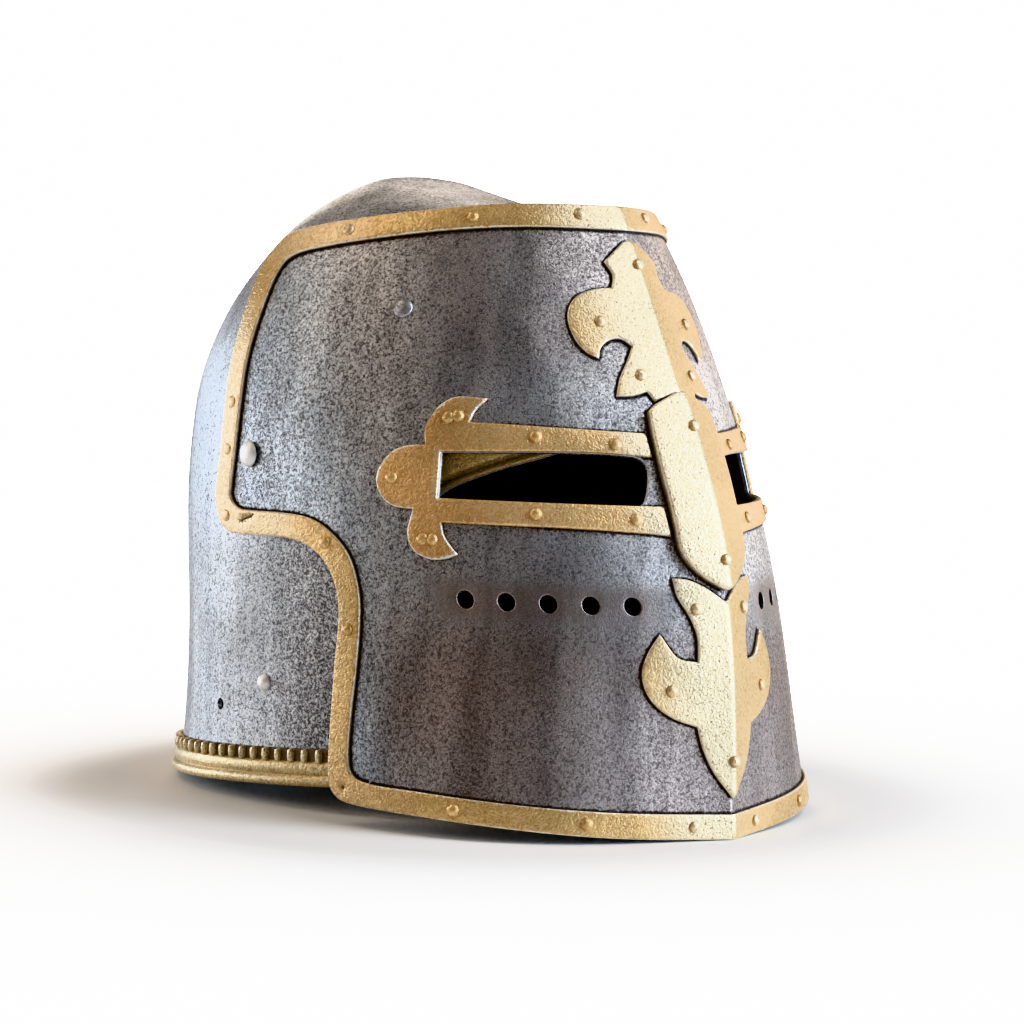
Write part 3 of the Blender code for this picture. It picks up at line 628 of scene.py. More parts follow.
def bent_sheet(name, runs, low, high, step, spacing, soft, drop, values, form=FACE,
               holes=(), whole=True, left=False, extra=None, wear_and_highlight_from=None, dent=None,
               wall_dirt_and_shade=0.0, painted_shade_on_left_walls=False):
    """A sheet of metal between two lifts above a form of the helm."""
    outer = loop_of(runs, step)
    flat, faces = fill_pattern(outer, list(holes), spacing,
                               [share * soft for share in MARGIN_SHARES], extra,
                               RIDGE_ROWS if whole else ())
    away = distance_to([outer] + list(holes), flat)
    lift = high - edge_fall(away, drop, soft)
    if dent:
        lift = lift - dent(flat)
    layers = {"edge_distance": wear_and_highlight_from(flat, away) if wear_and_highlight_from else away,
              "dirt_and_painted_shade": np.zeros(len(flat))}
    for key, rule in values.items():
        layers[key] = rule(flat)
    top = seated(form, flat, lift)[0]
    bottom = seated(form, flat, low)[0]
    if left:
        layers = {key: on_left(key, value) for key, value in layers.items()}
        top, bottom = mirrored(top), mirrored(bottom)
    return thick_mesh(name, top, bottom, faces, whole, layers, wall_dirt_and_shade, painted_shade_on_left_walls)


def add_piece(mesh, body, materials, slot, *stands_for):
    piece = placed(mesh.name, mesh)
    for material in materials:
        mesh.materials.append(material)
    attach(piece, body)
    if stands_for:
        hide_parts(*stands_for)
    print(piece.name, len(mesh.polygons), "faces")


# %% [markdown]
# ## Finishes
#
# Every finish starts from the same few effects, so each effect is a node group that is
# built once. The helper puts a node in a tree and wires its inputs in one call.

# %% Node helpers
FLOAT = "NodeSocketFloat"
VECTOR = "NodeSocketVector"


def put(tree, kind, inputs=None, **settings):
    """Adds a node; an input takes a plain value or another node's output."""
    node = tree.nodes.new(kind)
    for key, value in settings.items():
        setattr(node, key, value)
    for key, value in (inputs or {}).items():
        socket = node.inputs[key]
        if isinstance(value, bpy.types.NodeSocket):
            tree.links.new(value, socket)
        else:
            socket.default_value = value
    return node


def new_group(name, inputs, outputs):
    """An empty shader group with named sockets, and its two end nodes."""
    group = bpy.data.node_groups.new(name, "ShaderNodeTree")
    for label, kind, value in inputs:
        socket = group.interface.new_socket(label, in_out="INPUT", socket_type=kind)
        if value is not None:
            socket.default_value = value
    for label in outputs:
        group.interface.new_socket(label, in_out="OUTPUT", socket_type=FLOAT)
    return group, put(group, "NodeGroupInput").outputs, put(group, "NodeGroupOutput").inputs


def grouped(tree, group, inputs):
    return put(tree, "ShaderNodeGroup", inputs, node_tree=group).outputs


def calc(tree, operation, first, second, clamp=False):
    return put(tree, "ShaderNodeMath", {0: first, 1: second}, operation=operation,
               use_clamp=clamp).outputs[0]


def times(tree, first, second):
    return calc(tree, "MULTIPLY", first, second)


def plus(tree, first, second, clamp=False):
    return calc(tree, "ADD", first, second, clamp)


def minus(tree, first, second):
    return calc(tree, "SUBTRACT", first, second)


def remap(tree, value, low, high, to_low=0.0, to_high=1.0):
    return put(tree, "ShaderNodeMapRange",
               {"Value": value, "From Min": low, "From Max": high,
                "To Min": to_low, "To Max": to_high},
               interpolation_type="SMOOTHSTEP").outputs[0]


def between(tree, share, low, high):
    return remap(tree, share, 0.0, 1.0, low, high)


def blend_colour(tree, share, first, second):
    return put(tree, "ShaderNodeMix", {0: share, 6: first, 7: second},
               data_type="RGBA").outputs[2]


def scaled_colour(tree, colour, scale):
    return put(tree, "ShaderNodeVectorMath", {0: colour, "Scale": scale},
               operation="SCALE").outputs[0]


def noise(tree, vector, scale, detail=2.0, roughness=0.5, distortion=0.0):
    return put(tree, "ShaderNodeTexNoise",
               {"Vector": vector, "Scale": scale, "Detail": detail, "Roughness": roughness,
                "Distortion": distortion}).outputs["Fac"]


# %% [markdown]
# ### Hammered grain
#
# The metal is finely wrinkled all over, and the dark patina stays in the hollows when the
# surface is wiped. Two noises of slightly different size make worm-like hollows about a
# millimetre wide. The group gives the share of bright metal and a height for the bump.

# %% Grain group
grain_group, grain_in, grain_out = new_group(
    "hammered_grain",
    [("Vector", VECTOR, None), ("Scale", FLOAT, 600.0), ("Bare", FLOAT, 0.5),
     ("Softness", FLOAT, 0.12)], ["Grain", "Height"])
coarse = noise(grain_group, grain_in["Vector"], grain_in["Scale"], 1.5, 0.6, 0.8)
finer = noise(grain_group, grain_in["Vector"],
              times(grain_group, grain_in["Scale"], 1.9), 1.0, 0.5, 0.3)
both = plus(grain_group, times(grain_group, coarse, 0.6), times(grain_group, finer, 0.4))
middle = minus(grain_group, 1.0, grain_in["Bare"])
grain = remap(grain_group, both, minus(grain_group, middle, grain_in["Softness"]),
              plus(grain_group, middle, grain_in["Softness"]))
grain_group.links.new(grain, grain_out["Grain"])
grain_group.links.new(both, grain_out["Height"])

# %% [markdown]
# ### Clouds of tarnish
#
# Wiping is never even, so the patina is thicker in soft clouds and in faint upright
# streaks. The streaks are the same noise, drawn out along the height of the helm.

# %% Tarnish group
cloud_group, cloud_in, cloud_out = new_group(
    "tarnish_clouds",
    [("Vector", VECTOR, None), ("Cloud Scale", FLOAT, 14.0), ("Streak Scale", FLOAT, 55.0)],
    ["Clouds", "Streaks"])
clouds = noise(cloud_group, cloud_in["Vector"], cloud_in["Cloud Scale"], 3.0, 0.55)
flattened = put(cloud_group, "ShaderNodeMapping",
                {"Vector": cloud_in["Vector"], "Scale": (1.0, 1.0, 0.12)}).outputs[0]
streaks = noise(cloud_group, flattened, cloud_in["Streak Scale"], 3.0, 0.6)
cloud_group.links.new(remap(cloud_group, clouds, 0.32, 0.68), cloud_out["Clouds"])
cloud_group.links.new(remap(cloud_group, streaks, 0.3, 0.7), cloud_out["Streaks"])

# %% [markdown]
# ### Worn edges and dirty seams
#
# Handling rubs the patina off an edge, and the seam beside a riveted piece is dark with dirt
# and painted shade; on the sight frame the rubbed edge is also a painted highlight. Both
# masks come from a stored distance in millimetres, made ragged by a noise.

# %% Edge group
edge_group, edge_in, edge_out = new_group(
    "ragged_edge",
    [("Vector", VECTOR, None), ("Distance", FLOAT, 1.0), ("Width", FLOAT, 0.8),
     ("Raggedness", FLOAT, 0.6), ("Noise Scale", FLOAT, 500.0)], ["Mask"])
ragged = minus(edge_group,
               noise(edge_group, edge_in["Vector"], edge_in["Noise Scale"]), 0.5)
swing = times(edge_group, ragged,
              times(edge_group, edge_in["Raggedness"], edge_in["Width"]))
moved = plus(edge_group, edge_in["Distance"], times(edge_group, swing, 4.0))
half = times(edge_group, edge_in["Width"], 0.4)
edge_group.links.new(remap(edge_group, moved, half, edge_in["Width"], 1.0, 0.0),
                     edge_out["Mask"])

# %% [markdown]
# ### Aged silver
#
# Bright crests over dark hollows, a brown cast where the tarnish is thick, a smoother worn
# patch round the breathing holes, and dark seams of dirt and painted shade beside the gilt
# pieces. The plate and the skull are also painted lighter or darker by region: painted light
# and shade. The studs are rubbed bright, with a little tarnish left.

# %% Silver
SILVER_BARE = (0.73, 0.74, 0.765, 1.0)
SILVER_COOL = (0.62, 0.70, 0.78, 1.0)
SILVER_HOLLOW = (0.140, 0.137, 0.145, 1.0)
BROWN_BARE = (0.42, 0.32, 0.28, 1.0)
BROWN_HOLLOW = (0.15, 0.115, 0.10, 1.0)
SKULL_HOLLOW = (0.20, 0.21, 0.225, 1.0)
SEAM_DIRT_AND_SHADE = (0.050, 0.038, 0.034, 1.0)
SILVER_GRAIN = 740.0


def new_material(name):
    """A material without nodes yet, its tree, and the place of the point that is shaded."""
    material = bpy.data.materials.new(name)
    material.use_nodes = True
    tree = material.node_tree
    tree.nodes.clear()
    return material, tree, put(tree, "ShaderNodeTexCoord").outputs["Object"]


def end_with_shader(tree, colour, rough, normal, plain):
    """Ends a finish; its plain values stay on the shader's own sockets."""
    shader = put(tree, "ShaderNodeBsdfPrincipled",
                 {"Base Color": colour, "Roughness": rough, "Normal": normal, **plain})
    put(tree, "ShaderNodeOutputMaterial", {"Surface": shader.outputs[0]})


def stored(tree, name):
    return put(tree, "ShaderNodeAttribute", attribute_name=name).outputs["Fac"]


def edge_mask(tree, place, distance, width, raggedness):
    """Mask of a ragged strip where a stored distance is less than a width."""
    return grouped(tree, edge_group,
                   {"Vector": place, "Distance": stored(tree, distance), "Width": width,
                    "Raggedness": raggedness})["Mask"]


def bumped(tree, height, distance, **under):
    inputs = {"Height": height, "Distance": distance, "Strength": 1.0, **under}
    return put(tree, "ShaderNodeBump", inputs).outputs[0]


def aged_silver(name, softness, bare=0.5, brown=0.2, relief=0.0002, plate=False):
    material, tree, place = new_material(name)
    shade = stored(tree, "shade")
    bareness = minus(tree, bare, times(tree, shade, 0.08))
    grain = grouped(tree, grain_group, {"Vector": place, "Scale": SILVER_GRAIN,
                                        "Bare": bareness, "Softness": softness})
    tarnish = grouped(tree, cloud_group, {"Vector": place})
    share = grain["Grain"]
    height = grain["Height"]
    brownness = times(tree, tarnish["Clouds"], brown)
    if plate:
        worn = edge_mask(tree, place, "edge_distance", width=0.7, raggedness=0.4)
        share = plus(tree, share, worn, True)
        smooth = times(tree, stored(tree, "breath_patch"), 0.7)
        share = put(tree, "ShaderNodeMix", {0: smooth, 2: share, 3: 0.5}).outputs[0]
        brownness = plus(tree, brownness, stored(tree, "stain"), True)
        crest = blend_colour(tree, stored(tree, "coolness"), SILVER_BARE, SILVER_COOL)
        hollow = SILVER_HOLLOW
        # The plate's level is painted light and shade, set region by region.
        level = stored(tree, "painted_light_and_shade")
    else:
        crest = SILVER_BARE
        hollow = blend_colour(tree, shade, SKULL_HOLLOW, SILVER_HOLLOW)
        # On the skull the stored shade is painted shade and the stored lift is a painted
        # highlight.
        level = plus(tree, between(tree, shade, 0.78, 0.90), stored(tree, "lift"))
    colour = blend_colour(tree, brownness, blend_colour(tree, share, hollow, crest),
                          blend_colour(tree, share, BROWN_HOLLOW, BROWN_BARE))
    colour = scaled_colour(tree, colour, between(tree, tarnish["Streaks"], 0.78, 1.14))
    colour = scaled_colour(tree, colour, level)
    rough = between(tree, share, 0.6, 0.42)
    if plate:
        # The dark seam beside the gilt pieces: dirt and painted shade.
        dirt = edge_mask(tree, place, "trim_distance", width=1.35, raggedness=0.25)
        dirt_and_shade_amount = times(tree, dirt, 0.85)
        colour = blend_colour(tree, dirt_and_shade_amount, colour, SEAM_DIRT_AND_SHADE)
        rough = plus(tree, rough, times(tree, dirt_and_shade_amount, 0.4))
        height = minus(tree, height, dirt_and_shade_amount)
    waves = bumped(tree, noise(tree, place, 45.0, 1.0), 0.0008)
    bump = bumped(tree, height, relief, Normal=waves)
    end_with_shader(tree, colour, rough, bump, {"Metallic": 1.0})
    return material


def plain_grain(name, hollow, crest, scale, bare, rough, relief, metallic):
    """A plain finish whose colour follows the grain, from its hollows to its crests."""
    material, tree, place = new_material(name)
    grain = grouped(tree, grain_group, {"Vector": place, "Scale": scale, "Bare": bare})
    end_with_shader(tree, blend_colour(tree, grain["Grain"], hollow, crest),
                    between(tree, grain["Grain"], *rough),
                    bumped(tree, grain["Height"], relief), {"Metallic": metallic})
    return material


silver_plate = aged_silver("aged_silver_plate", 0.16, plate=True)
silver_skull = aged_silver("aged_silver_skull", 0.13, bare=0.54, brown=0.04)
silver_boss = aged_silver("aged_silver_boss", 0.2, bare=0.56, relief=0.0001)
silver_stud = plain_grain("rubbed_silver", (0.6, 0.6, 0.62, 1.0), (0.95, 0.95, 0.96, 1.0),
                          scale=700.0, bare=0.85, rough=(0.66, 0.56), relief=0.00005,
                          metallic=0.8)

# %% [markdown]
# ### Gilding
#
# The gilt pieces are cast, with a fine leathery skin. Their hollows keep some brown, their
# edges are rubbed nearly white, and small brown specks are left where the gold flaked. Pale
# gilding along the keel is partly rubbed and partly a painted highlight, the sight frame's
# silver rim is also a painted highlight where it faces the light, and walls, grooves and
# rivet feet are darkened with dirt and painted shade.

# %% Gilt finish
GILT_BARE = (0.87, 0.61, 0.275, 1.0)
GILT_PALE = (0.98, 0.86, 0.62, 1.0)
PALE_HOLLOW = (0.84, 0.70, 0.43, 1.0)
GILT_GLEAM = (1.0, 0.70, 0.36, 1.0)
GLEAM_HOLLOW = (0.62, 0.33, 0.12, 1.0)
GILT_HOLLOW = (0.54, 0.325, 0.135, 1.0)
GILT_RUBBED = (0.93, 0.87, 0.72, 1.0)
GILT_SPECK = (0.20, 0.14, 0.085, 1.0)
GILT_DIRT_AND_SHADE = (0.060, 0.036, 0.016, 1.0)
SILVER_RIM_AND_HIGHLIGHT = (0.80, 0.76, 0.70, 1.0)
BAND_BARE = (0.93, 0.78, 0.41, 1.0)
FRAME_BARE = (0.90, 0.555, 0.265, 1.0)
RIVET_PAINTED_SHADE = (0.46, 0.26, 0.09, 1.0)
GILT_GRAIN = 600.0


def gilt_finish(name, bare=GILT_BARE, rubbed=GILT_RUBBED, rub=0.45, specks_all_over=0.1,
                relief=0.0005, dirt=GILT_DIRT_AND_SHADE):
    material, tree, place = new_material(name)
    pale = stored(tree, "pale_rub_and_highlight")
    gleam = stored(tree, "gleam")
    bareness = plus(tree, times(tree, gleam, 0.035), 0.515)
    grain = grouped(tree, grain_group, {"Vector": place, "Scale": GILT_GRAIN,
                                        "Bare": bareness, "Softness": 0.16})
    tarnish = grouped(tree, cloud_group, {"Vector": place, "Cloud Scale": 26.0})
    crest = blend_colour(tree, pale, blend_colour(tree, gleam, bare, GILT_GLEAM), GILT_PALE)
    hollow = blend_colour(tree, pale,
                          blend_colour(tree, gleam, GILT_HOLLOW, GLEAM_HOLLOW), PALE_HOLLOW)
    colour = blend_colour(tree, grain["Grain"], hollow, crest)
    colour = scaled_colour(tree, colour, between(tree, tarnish["Clouds"], 0.84, 1.06))
    specks = times(tree, remap(tree, noise(tree, place, 1050.0, 1.0), 0.58, 0.68),
                   between(tree, pale, specks_all_over, 0.75))
    colour = blend_colour(tree, specks, colour, GILT_SPECK)
    # On the sight frame the rubbed edge is silver and lies where the edge faces the light:
    # rub and painted highlight together.
    worn = edge_mask(tree, place, "edge_distance", width=rub, raggedness=0.8)
    colour = blend_colour(tree, worn, colour, rubbed)
    # The stored darkening of walls, grooves, channels and rivet feet: dirt and painted shade.
    colour = blend_colour(tree, stored(tree, "dirt_and_painted_shade"), colour, dirt)
    end_with_shader(tree, colour, between(tree, grain["Grain"], 0.5, 0.32),
                    bumped(tree, grain["Height"], relief),
                    {"Metallic": 0.6, "Coat Weight": 0.25, "Coat Roughness": 0.35})
    return material


gilt = gilt_finish("gilding")
gilt_frame = gilt_finish("gilding_with_silver_rim_and_highlight", bare=FRAME_BARE, rubbed=SILVER_RIM_AND_HIGHLIGHT,
                         rub=0.9)
gilt_band = gilt_finish("gilding_of_the_band", bare=BAND_BARE, specks_all_over=0.5)
gilt_rivet = gilt_finish("gilding_of_the_rivets", relief=0.00015, dirt=RIVET_PAINTED_SHADE)

# %% [markdown]
# ### Blackened inside
#
# Armour is painted or blackened inside against rust, so the hollow shows as a dark room
# behind the sight slits. Its near-black colour also stands in for the shade deep inside the
# helm.

# %% Inside finish
inside_black = plain_grain("blackened_and_shaded_inside", (0.010, 0.009, 0.008, 1.0),
                           (0.030, 0.027, 0.025, 1.0), scale=180.0, bare=0.5,
                           rough=(0.8, 0.6), relief=0.0003, metallic=0.0)

# %% [markdown]
# ## The face plate
#
# One sheet of steel with a keel down the middle, two sight slits and a row of breathing
# holes on each side. The holes are cut in the flat pattern, as they would be punched. Rows
# of points follow the outlines of the gilt pieces, to hold the narrow dark seams of dirt
# and painted shade.

# %% Face plate
PLATE_WALL = 2.0
BREATH_HOLES = 5
BREATH_FIRST_REACH = 39.1
BREATH_PITCH = 17.1
BREATH_HEIGHT = 94.5
BREATH_RADIUS = 3.6
BREATH_SIDES = 24
SEAM_ROWS = (0.0, 0.6, 1.2, 2.4)
SEAM_STEP = 2.0
SLIT_STEP = 1.6
# The plate's walls on the wearer's left are black, as painted shade.
PLATE_CUT = {"low": -PLATE_WALL, "high": 0.0, "step": 2.6, "spacing": 3.2, "soft": 0.6,
             "drop": 0.35, "painted_shade_on_left_walls": True}

slit_loop = loop_of(EYE_SLIT, SLIT_STEP)
breath_loops = [circle((BREATH_FIRST_REACH + k * BREATH_PITCH, BREATH_HEIGHT),
                       BREATH_RADIUS, BREATH_SIDES) for k in range(BREATH_HOLES)]
edging_loop, frame_loop, *other_loops = [
    loop_of(runs, SEAM_STEP)
    for runs in (EDGING, EYE_FRAME, NOSE_PLATE, CROSS_UPPER, CROSS_LOWER)]
edging_hole = loop_of([[EDGING_FOOT] + EDGING_INNER, [EDGING_TOP]], SEAM_STEP)
seam_points = np.vstack([offset_loop(loop, -row) for loop in [frame_loop] + other_loops
                         for row in SEAM_ROWS]
                        + [offset_loop(edging_hole, row) for row in SEAM_ROWS])
plate_loops = [loop_of(PLATE, PLATE_CUT["step"]), slit_loop] + breath_loops
seam_points = seam_points[(seam_points[:, 0] > 1.0) & inside(plate_loops[0], seam_points)]
seam_points = seam_points[distance_to(plate_loops, seam_points) > 0.8]


def rises(value, low, high):
    """Nought up to the low value and one from the high value on, with an eased climb."""
    u = np.clip((value - low) / (high - low), 0.0, 1.0)
    return u * u * (3 - 2 * u)


def falls(value, low, high):
    return 1 - rises(value, low, high)


def seam_distance(flat):
    """Distance to the gilt pieces, for the dark seam of dirt and painted shade; the seam
    fades at the outer ends of the sight frames, which face the light.
    """
    near_frame = distance_to([frame_loop], flat) + 0.9 * rises(flat[:, 0], 70.0, 88.0)
    near_frame = np.where(distance_to([slit_loop], flat) < 0.3, FAR_EDGE, near_frame)
    return np.minimum(distance_to([edging_loop] + other_loops, flat), near_frame)


def breath_patch(flat):
    """One round the breathing holes, fading to nothing further out."""
    reach, height = flat.T
    up = rises(height, 83.0, 89.0) * falls(height, 99.5, 105.0)
    return up * rises(reach, 18.0, 34.0) * falls(reach, 114.0, 132.0)


def stain(flat):
    """Brown tarnish: low down, round the breathing holes and a little on the brow."""
    reach, height = flat.T
    low = 0.55 * falls(height, 66.0, 118.0) * falls(reach, 140.0, 165.0)
    brow = 0.35 * rises(height, 176.0, 200.0) * falls(reach, 72.0, 100.0)
    return np.maximum.reduce([low, brow, 0.55 * breath_patch(flat)])


def painted_light_and_shade(flat):
    """Painted light and shade: darker low down behind, lighter beside the nose plate and at
    the hinge corner.
    """
    reach, height = flat.T
    behind = 0.22 * falls(height, 60.0, 95.0) * rises(reach, 112.0, 140.0)
    low = 0.04 * falls(height, 60.0, 95.0) * rises(reach, 50.0, 75.0)
    upper = 0.18 * rises(height, 158.0, 170.0) * falls(height, 190.0, 205.0)
    lower = 0.3 * rises(height, 98.0, 106.0) * falls(height, 120.0, 128.0)
    corner = 0.12 * rises(reach, 155.0, 175.0) * falls(height, 150.0, 165.0)
    return 0.93 - behind - low + corner + (upper + lower) * falls(reach, 38.0, 60.0)


def coolness(flat):
    return rises(flat[:, 0], 110.0, 170.0)


def keel_worn(flat, away):
    """Distance to what is rubbed on the plate: its edges and its keel."""
    return np.minimum(away, flat[:, 0])


plate_values = {"trim_distance": seam_distance, "breath_patch": breath_patch,
                "stain": stain, "painted_light_and_shade": painted_light_and_shade, "coolness": coolness}
plate_mesh = bent_sheet("face_plate_sheet", PLATE, holes=plate_loops[1:], extra=seam_points,
                        values=plate_values, wear_and_highlight_from=keel_worn, **PLATE_CUT)
add_piece(plate_mesh, "visor", [silver_plate, inside_black], "aged_silver", "visor_plate")

# %% [markdown]
# ## The gilt pieces
#
# The edging, the two sight frames, the nose plate and the two arms of the cross are cast
# pieces riveted on the plate. Their outlines carry the ornament, so they are cut from
# their patterns in the same way, with softer edges.

# %% Gilt pieces on the face plate
SEAT_GAP = 0.35
GILT_RISE = 1.6
NOSE_RISE = 4.4
GILT_TOP = SEAT_GAP + GILT_RISE
NOSE_TOP = SEAT_GAP + NOSE_RISE
NICK_FROM = (222.4, 117.5)
NICK_TO = (210.6, 121.4)
NICK_DEPTH = 0.9
PIT_AT = (171.0, 13.4)
CUT_AREAS = ((208.0, 225.0, 115.5, 122.0), (168.5, 173.5, 11.0, 16.0))
CUT_PITCH = 0.5


def nick(flat):
    """One along the middle of the cut in the edging, tapering to its two ends."""
    away, along = from_edge(flat, NICK_FROM, NICK_TO)
    taper = np.sqrt(4 * along * (1 - along)) + 0.02
    return falls(away, 0.15 * taper, 0.65 * taper)


def pit(flat):
    """One in the small dark pit at the foot of the edging's upright."""
    return falls(np.hypot(*(flat - PIT_AT).T), 0.5, 1.2)


def edging_dirt(flat):
    """The nick, the pit, and a thin film of dirt low down behind."""
    film = 0.13 * falls(flat[:, 1], 90.0, 112.0) * rises(flat[:, 0], 60.0, 110.0)
    return np.maximum.reduce([nick(flat), 0.9 * pit(flat), film])


def edging_dent(flat):
    return NICK_DEPTH * np.maximum(nick(flat), pit(flat))


def pale_rub_and_highlight(flat):
    """Gilding is pale along the keel, beside the nose plate, at the hinge corner and on the
    brow: partly rubbed and partly a painted highlight.
    """
    reach, height = flat.T
    keel = falls(reach, 12.0, 44.0)
    beside_nose = 0.9 * falls(reach, 27.0, 36.0) * rises(height, 118.0, 120.0)
    beside_nose = beside_nose * falls(height, 166.0, 168.0)
    corner = 0.45 * rises(reach, 178.0, 196.0)
    brow = 0.35 * rises(reach, 105.0, 125.0) * rises(height, 225.0, 235.0)
    return np.maximum.reduce([keel, beside_nose, corner, brow])


def gleam(flat):
    """The two bars of a sight frame catch the light between trefoil and nose plate."""
    return falls(flat[:, 0], 84.0, 108.0)


def from_slit_end(flat):
    return from_edge(flat, SLIT_END_FOOT, SLIT_END_TOP)[0]


def frame_paleness(flat):
    """Pale by the nose plate, and a painted highlight on the wall at the slit's outer end,
    which faces the light.
    """
    return np.maximum(pale_rub_and_highlight(flat), falls(from_slit_end(flat), 0.7, 1.1))


def silver_rim_and_highlight(flat, away):
    """Distance to a frame's silver rim, rubbed and lit with a painted highlight; larger where
    the edge stays gilt: on the bars and at the slit's end.
    """
    reach, height = flat.T
    bars = rises(height, 122.0, 126.0) * falls(height, 163.0, 167.0)
    gilt_part = bars * falls(reach, 108.0, 116.0)
    return away + 3.0 * np.maximum(gilt_part, from_slit_end(flat) < 1.5)


cut = np.vstack([np.stack(np.meshgrid(np.arange(low, high, CUT_PITCH),
                                      np.arange(foot, head, CUT_PITCH)), -1).reshape(-1, 2)
                 for low, high, foot, head in CUT_AREAS])
cut = cut[edging_dent(cut) > 0.0]
# The walls of the gilt pieces are darkened with dirt and painted shade, those of the sight
# frames only a little.
GILT_CUT = {"low": SEAT_GAP, "high": GILT_TOP, "step": 1.6, "spacing": 2.6, "soft": 0.9,
            "drop": 0.75, "wall_dirt_and_shade": 0.95, "values": {"pale_rub_and_highlight": pale_rub_and_highlight}}
EDGING_CUT = {"extra": cut, "dent": edging_dent,
              "values": {"pale_rub_and_highlight": pale_rub_and_highlight, "dirt_and_painted_shade": edging_dirt}}
NOSE_CUT = {"high": NOSE_TOP, "step": 1.4, "spacing": 2.2, "soft": 1.1, "drop": 0.9}
FRAME_CUT = {"spacing": 2.4, "wall_dirt_and_shade": 0.1, "wear_and_highlight_from": silver_rim_and_highlight, "whole": False,
             "values": {"pale_rub_and_highlight": frame_paleness, "gleam": gleam}}
gilt_pieces = [
    ("gilt_edging", EDGING, EDGING_CUT, gilt, "visor_border"),
    ("gilt_cross_upper", CROSS_UPPER, {}, gilt, "cross_top"),
    ("gilt_cross_lower", CROSS_LOWER, {}, gilt, "cross_bottom"),
    ("gilt_nose_plate", NOSE_PLATE, NOSE_CUT, gilt, "nose_plate"),
    ("gilt_eye_frame_right", EYE_FRAME, FRAME_CUT, gilt_frame, "eye_frame_right"),
    ("gilt_eye_frame_left", EYE_FRAME, {**FRAME_CUT, "left": True}, gilt, "eye_frame_left"),
]
for name, runs, own_cut, finish, node in gilt_pieces:
    mesh = bent_sheet(name, runs, **{**GILT_CUT, **own_cut})
    add_piece(mesh, "visor", [finish, gilt], "aged_gold", node)

# %% [markdown]
# ## The skull
#
# The round bowl behind the face plate. Its pattern runs from the ridge to the back and
# from the rim to the crown, with the opening for the face and the strap hole left out. It
# is filled in a space of turn and table row, because that space has no crowded pole.

# %% Skull
SKULL_WALL = 2.0
TURN_SPAN = 100.0
ROW_SPAN = 20.0
OPENING_END = 108.0
STRAP_HOLE_Y = 51.3
STRAP_HOLE_Z = 34.7
STRAP_HOLE_RADIUS = 2.6
STRAP_HOLE_SIDES = 20
SKULL_SPACING = 2.8
BELOW_CROWN = 0.005


def skull_flat(reach, height):
    """Pattern place of a (reach, height) on the skull."""
    turn = turn_at(skull_section, height, reach)
    return np.stack([turn * TURN_SPAN, skull_row_at(height) * ROW_SPAN], -1)


def skull_side_flat(y, z):
    """Pattern place of a point seen from the side, behind the widest place."""
    height = z
    for _ in range(20):
        height = z - rim_shift(height, y)
    rows = skull_section(height)
    swing = np.arcsin(np.clip((y - rows["widest_y"]) / rows["back"], 0.0, 1.0))
    return np.stack([(1.0 + swing / (math.pi / 2)) * TURN_SPAN,
                     skull_row_at(height) * ROW_SPAN], -1)


opening = np.vstack([smooth_run(OPENING_EDGE + [(OPENING_END, 0.0)], 3.0),
                     [(OPENING_END, 0.0)]])
opening_flat = skull_flat(opening[:, 0], opening[:, 1])
strap = circle((STRAP_HOLE_Y, STRAP_HOLE_Z), STRAP_HOLE_RADIUS, STRAP_HOLE_SIDES)
strap_flat = skull_side_flat(strap[:, 0], strap[:, 1])
back_foot = (2 * TURN_SPAN, 0.0)
back_top = (2 * TURN_SPAN, CROWN_ROW * ROW_SPAN)
ridge_top = (0.0, CROWN_ROW * ROW_SPAN)
skull_outer = np.vstack([np.linspace(back_foot, back_top, 100),
                         np.linspace(back_top, ridge_top, 60)[1:],
                         np.linspace(ridge_top, opening_flat[0], 50)[1:-1],
                         opening_flat,
                         np.linspace(opening_flat[-1], back_foot, 60)[1:-1]])
flat, faces = fill_pattern(skull_outer, [strap_flat], SKULL_SPACING)
turn = flat[:, 0] / TURN_SPAN
row = flat[:, 1] / ROW_SPAN


def bowl(lift):
    """The bowl's points in millimetres, raised by a lift, with its pole closed."""
    points, _ = lifted(dome_surface, turn, np.minimum(row, CROWN_ROW - BELOW_CROWN), lift)
    points[on_seam(turn), 0] = 0.0
    points[row > CROWN_ROW - 2 * BELOW_CROWN] = np.add(CROWN, (0.0, 0.0, lift))
    return points


top = bowl(0.0)
# Painted shade low down at the front of the skull, beside the face plate, and a painted
# highlight high up behind: both are painted into the colour.
shade = falls(top[:, 1], -16.0, 34.0) * falls(top[:, 2], 104.0, 124.0)
painted_light_on_skull = 0.55 * rises(top[:, 1], 40.0, 90.0) * rises(top[:, 2], 150.0, 185.0)
skull_mesh = thick_mesh("skull_bowl", stand(top), stand(bowl(-SKULL_WALL)), faces, True,
                        {"shade": shade, "lift": painted_light_on_skull})
add_piece(skull_mesh, "helm", [silver_skull, inside_black], "aged_silver", "skull_shell")

# %% [markdown]
# ## Trim of the face opening
#
# A gilt band riveted round the opening of the skull. It shows through the sight slits and
# whenever the face plate is lifted.

# %% Opening trim
TRIM_STEP = 2.0
GROOVE_ROWS = (2.4, 3.2, 4.2, 5.2, 6.0)
GROOVE_DEPTH = 0.9

opening_line = smooth_run(OPENING_EDGE + [TRIM_FOOT], TRIM_STEP)
opening_rows = np.vstack([opening_line + 0.7 * row for row in GROOVE_ROWS])
trim_loop = loop_of(OPENING_TRIM, TRIM_STEP)
opening_rows = opening_rows[(opening_rows[:, 0] > 0.5) & inside(trim_loop, opening_rows)]


def from_opening(flat):
    return np.sqrt(((flat[:, None] - opening_line[None]) ** 2).sum(2)).min(1)


def trim_groove(flat):
    """One in the groove that sets off the lip of the face opening."""
    away = from_opening(flat)
    return rises(away, 2.2, 3.2) * falls(away, 4.2, 5.4)


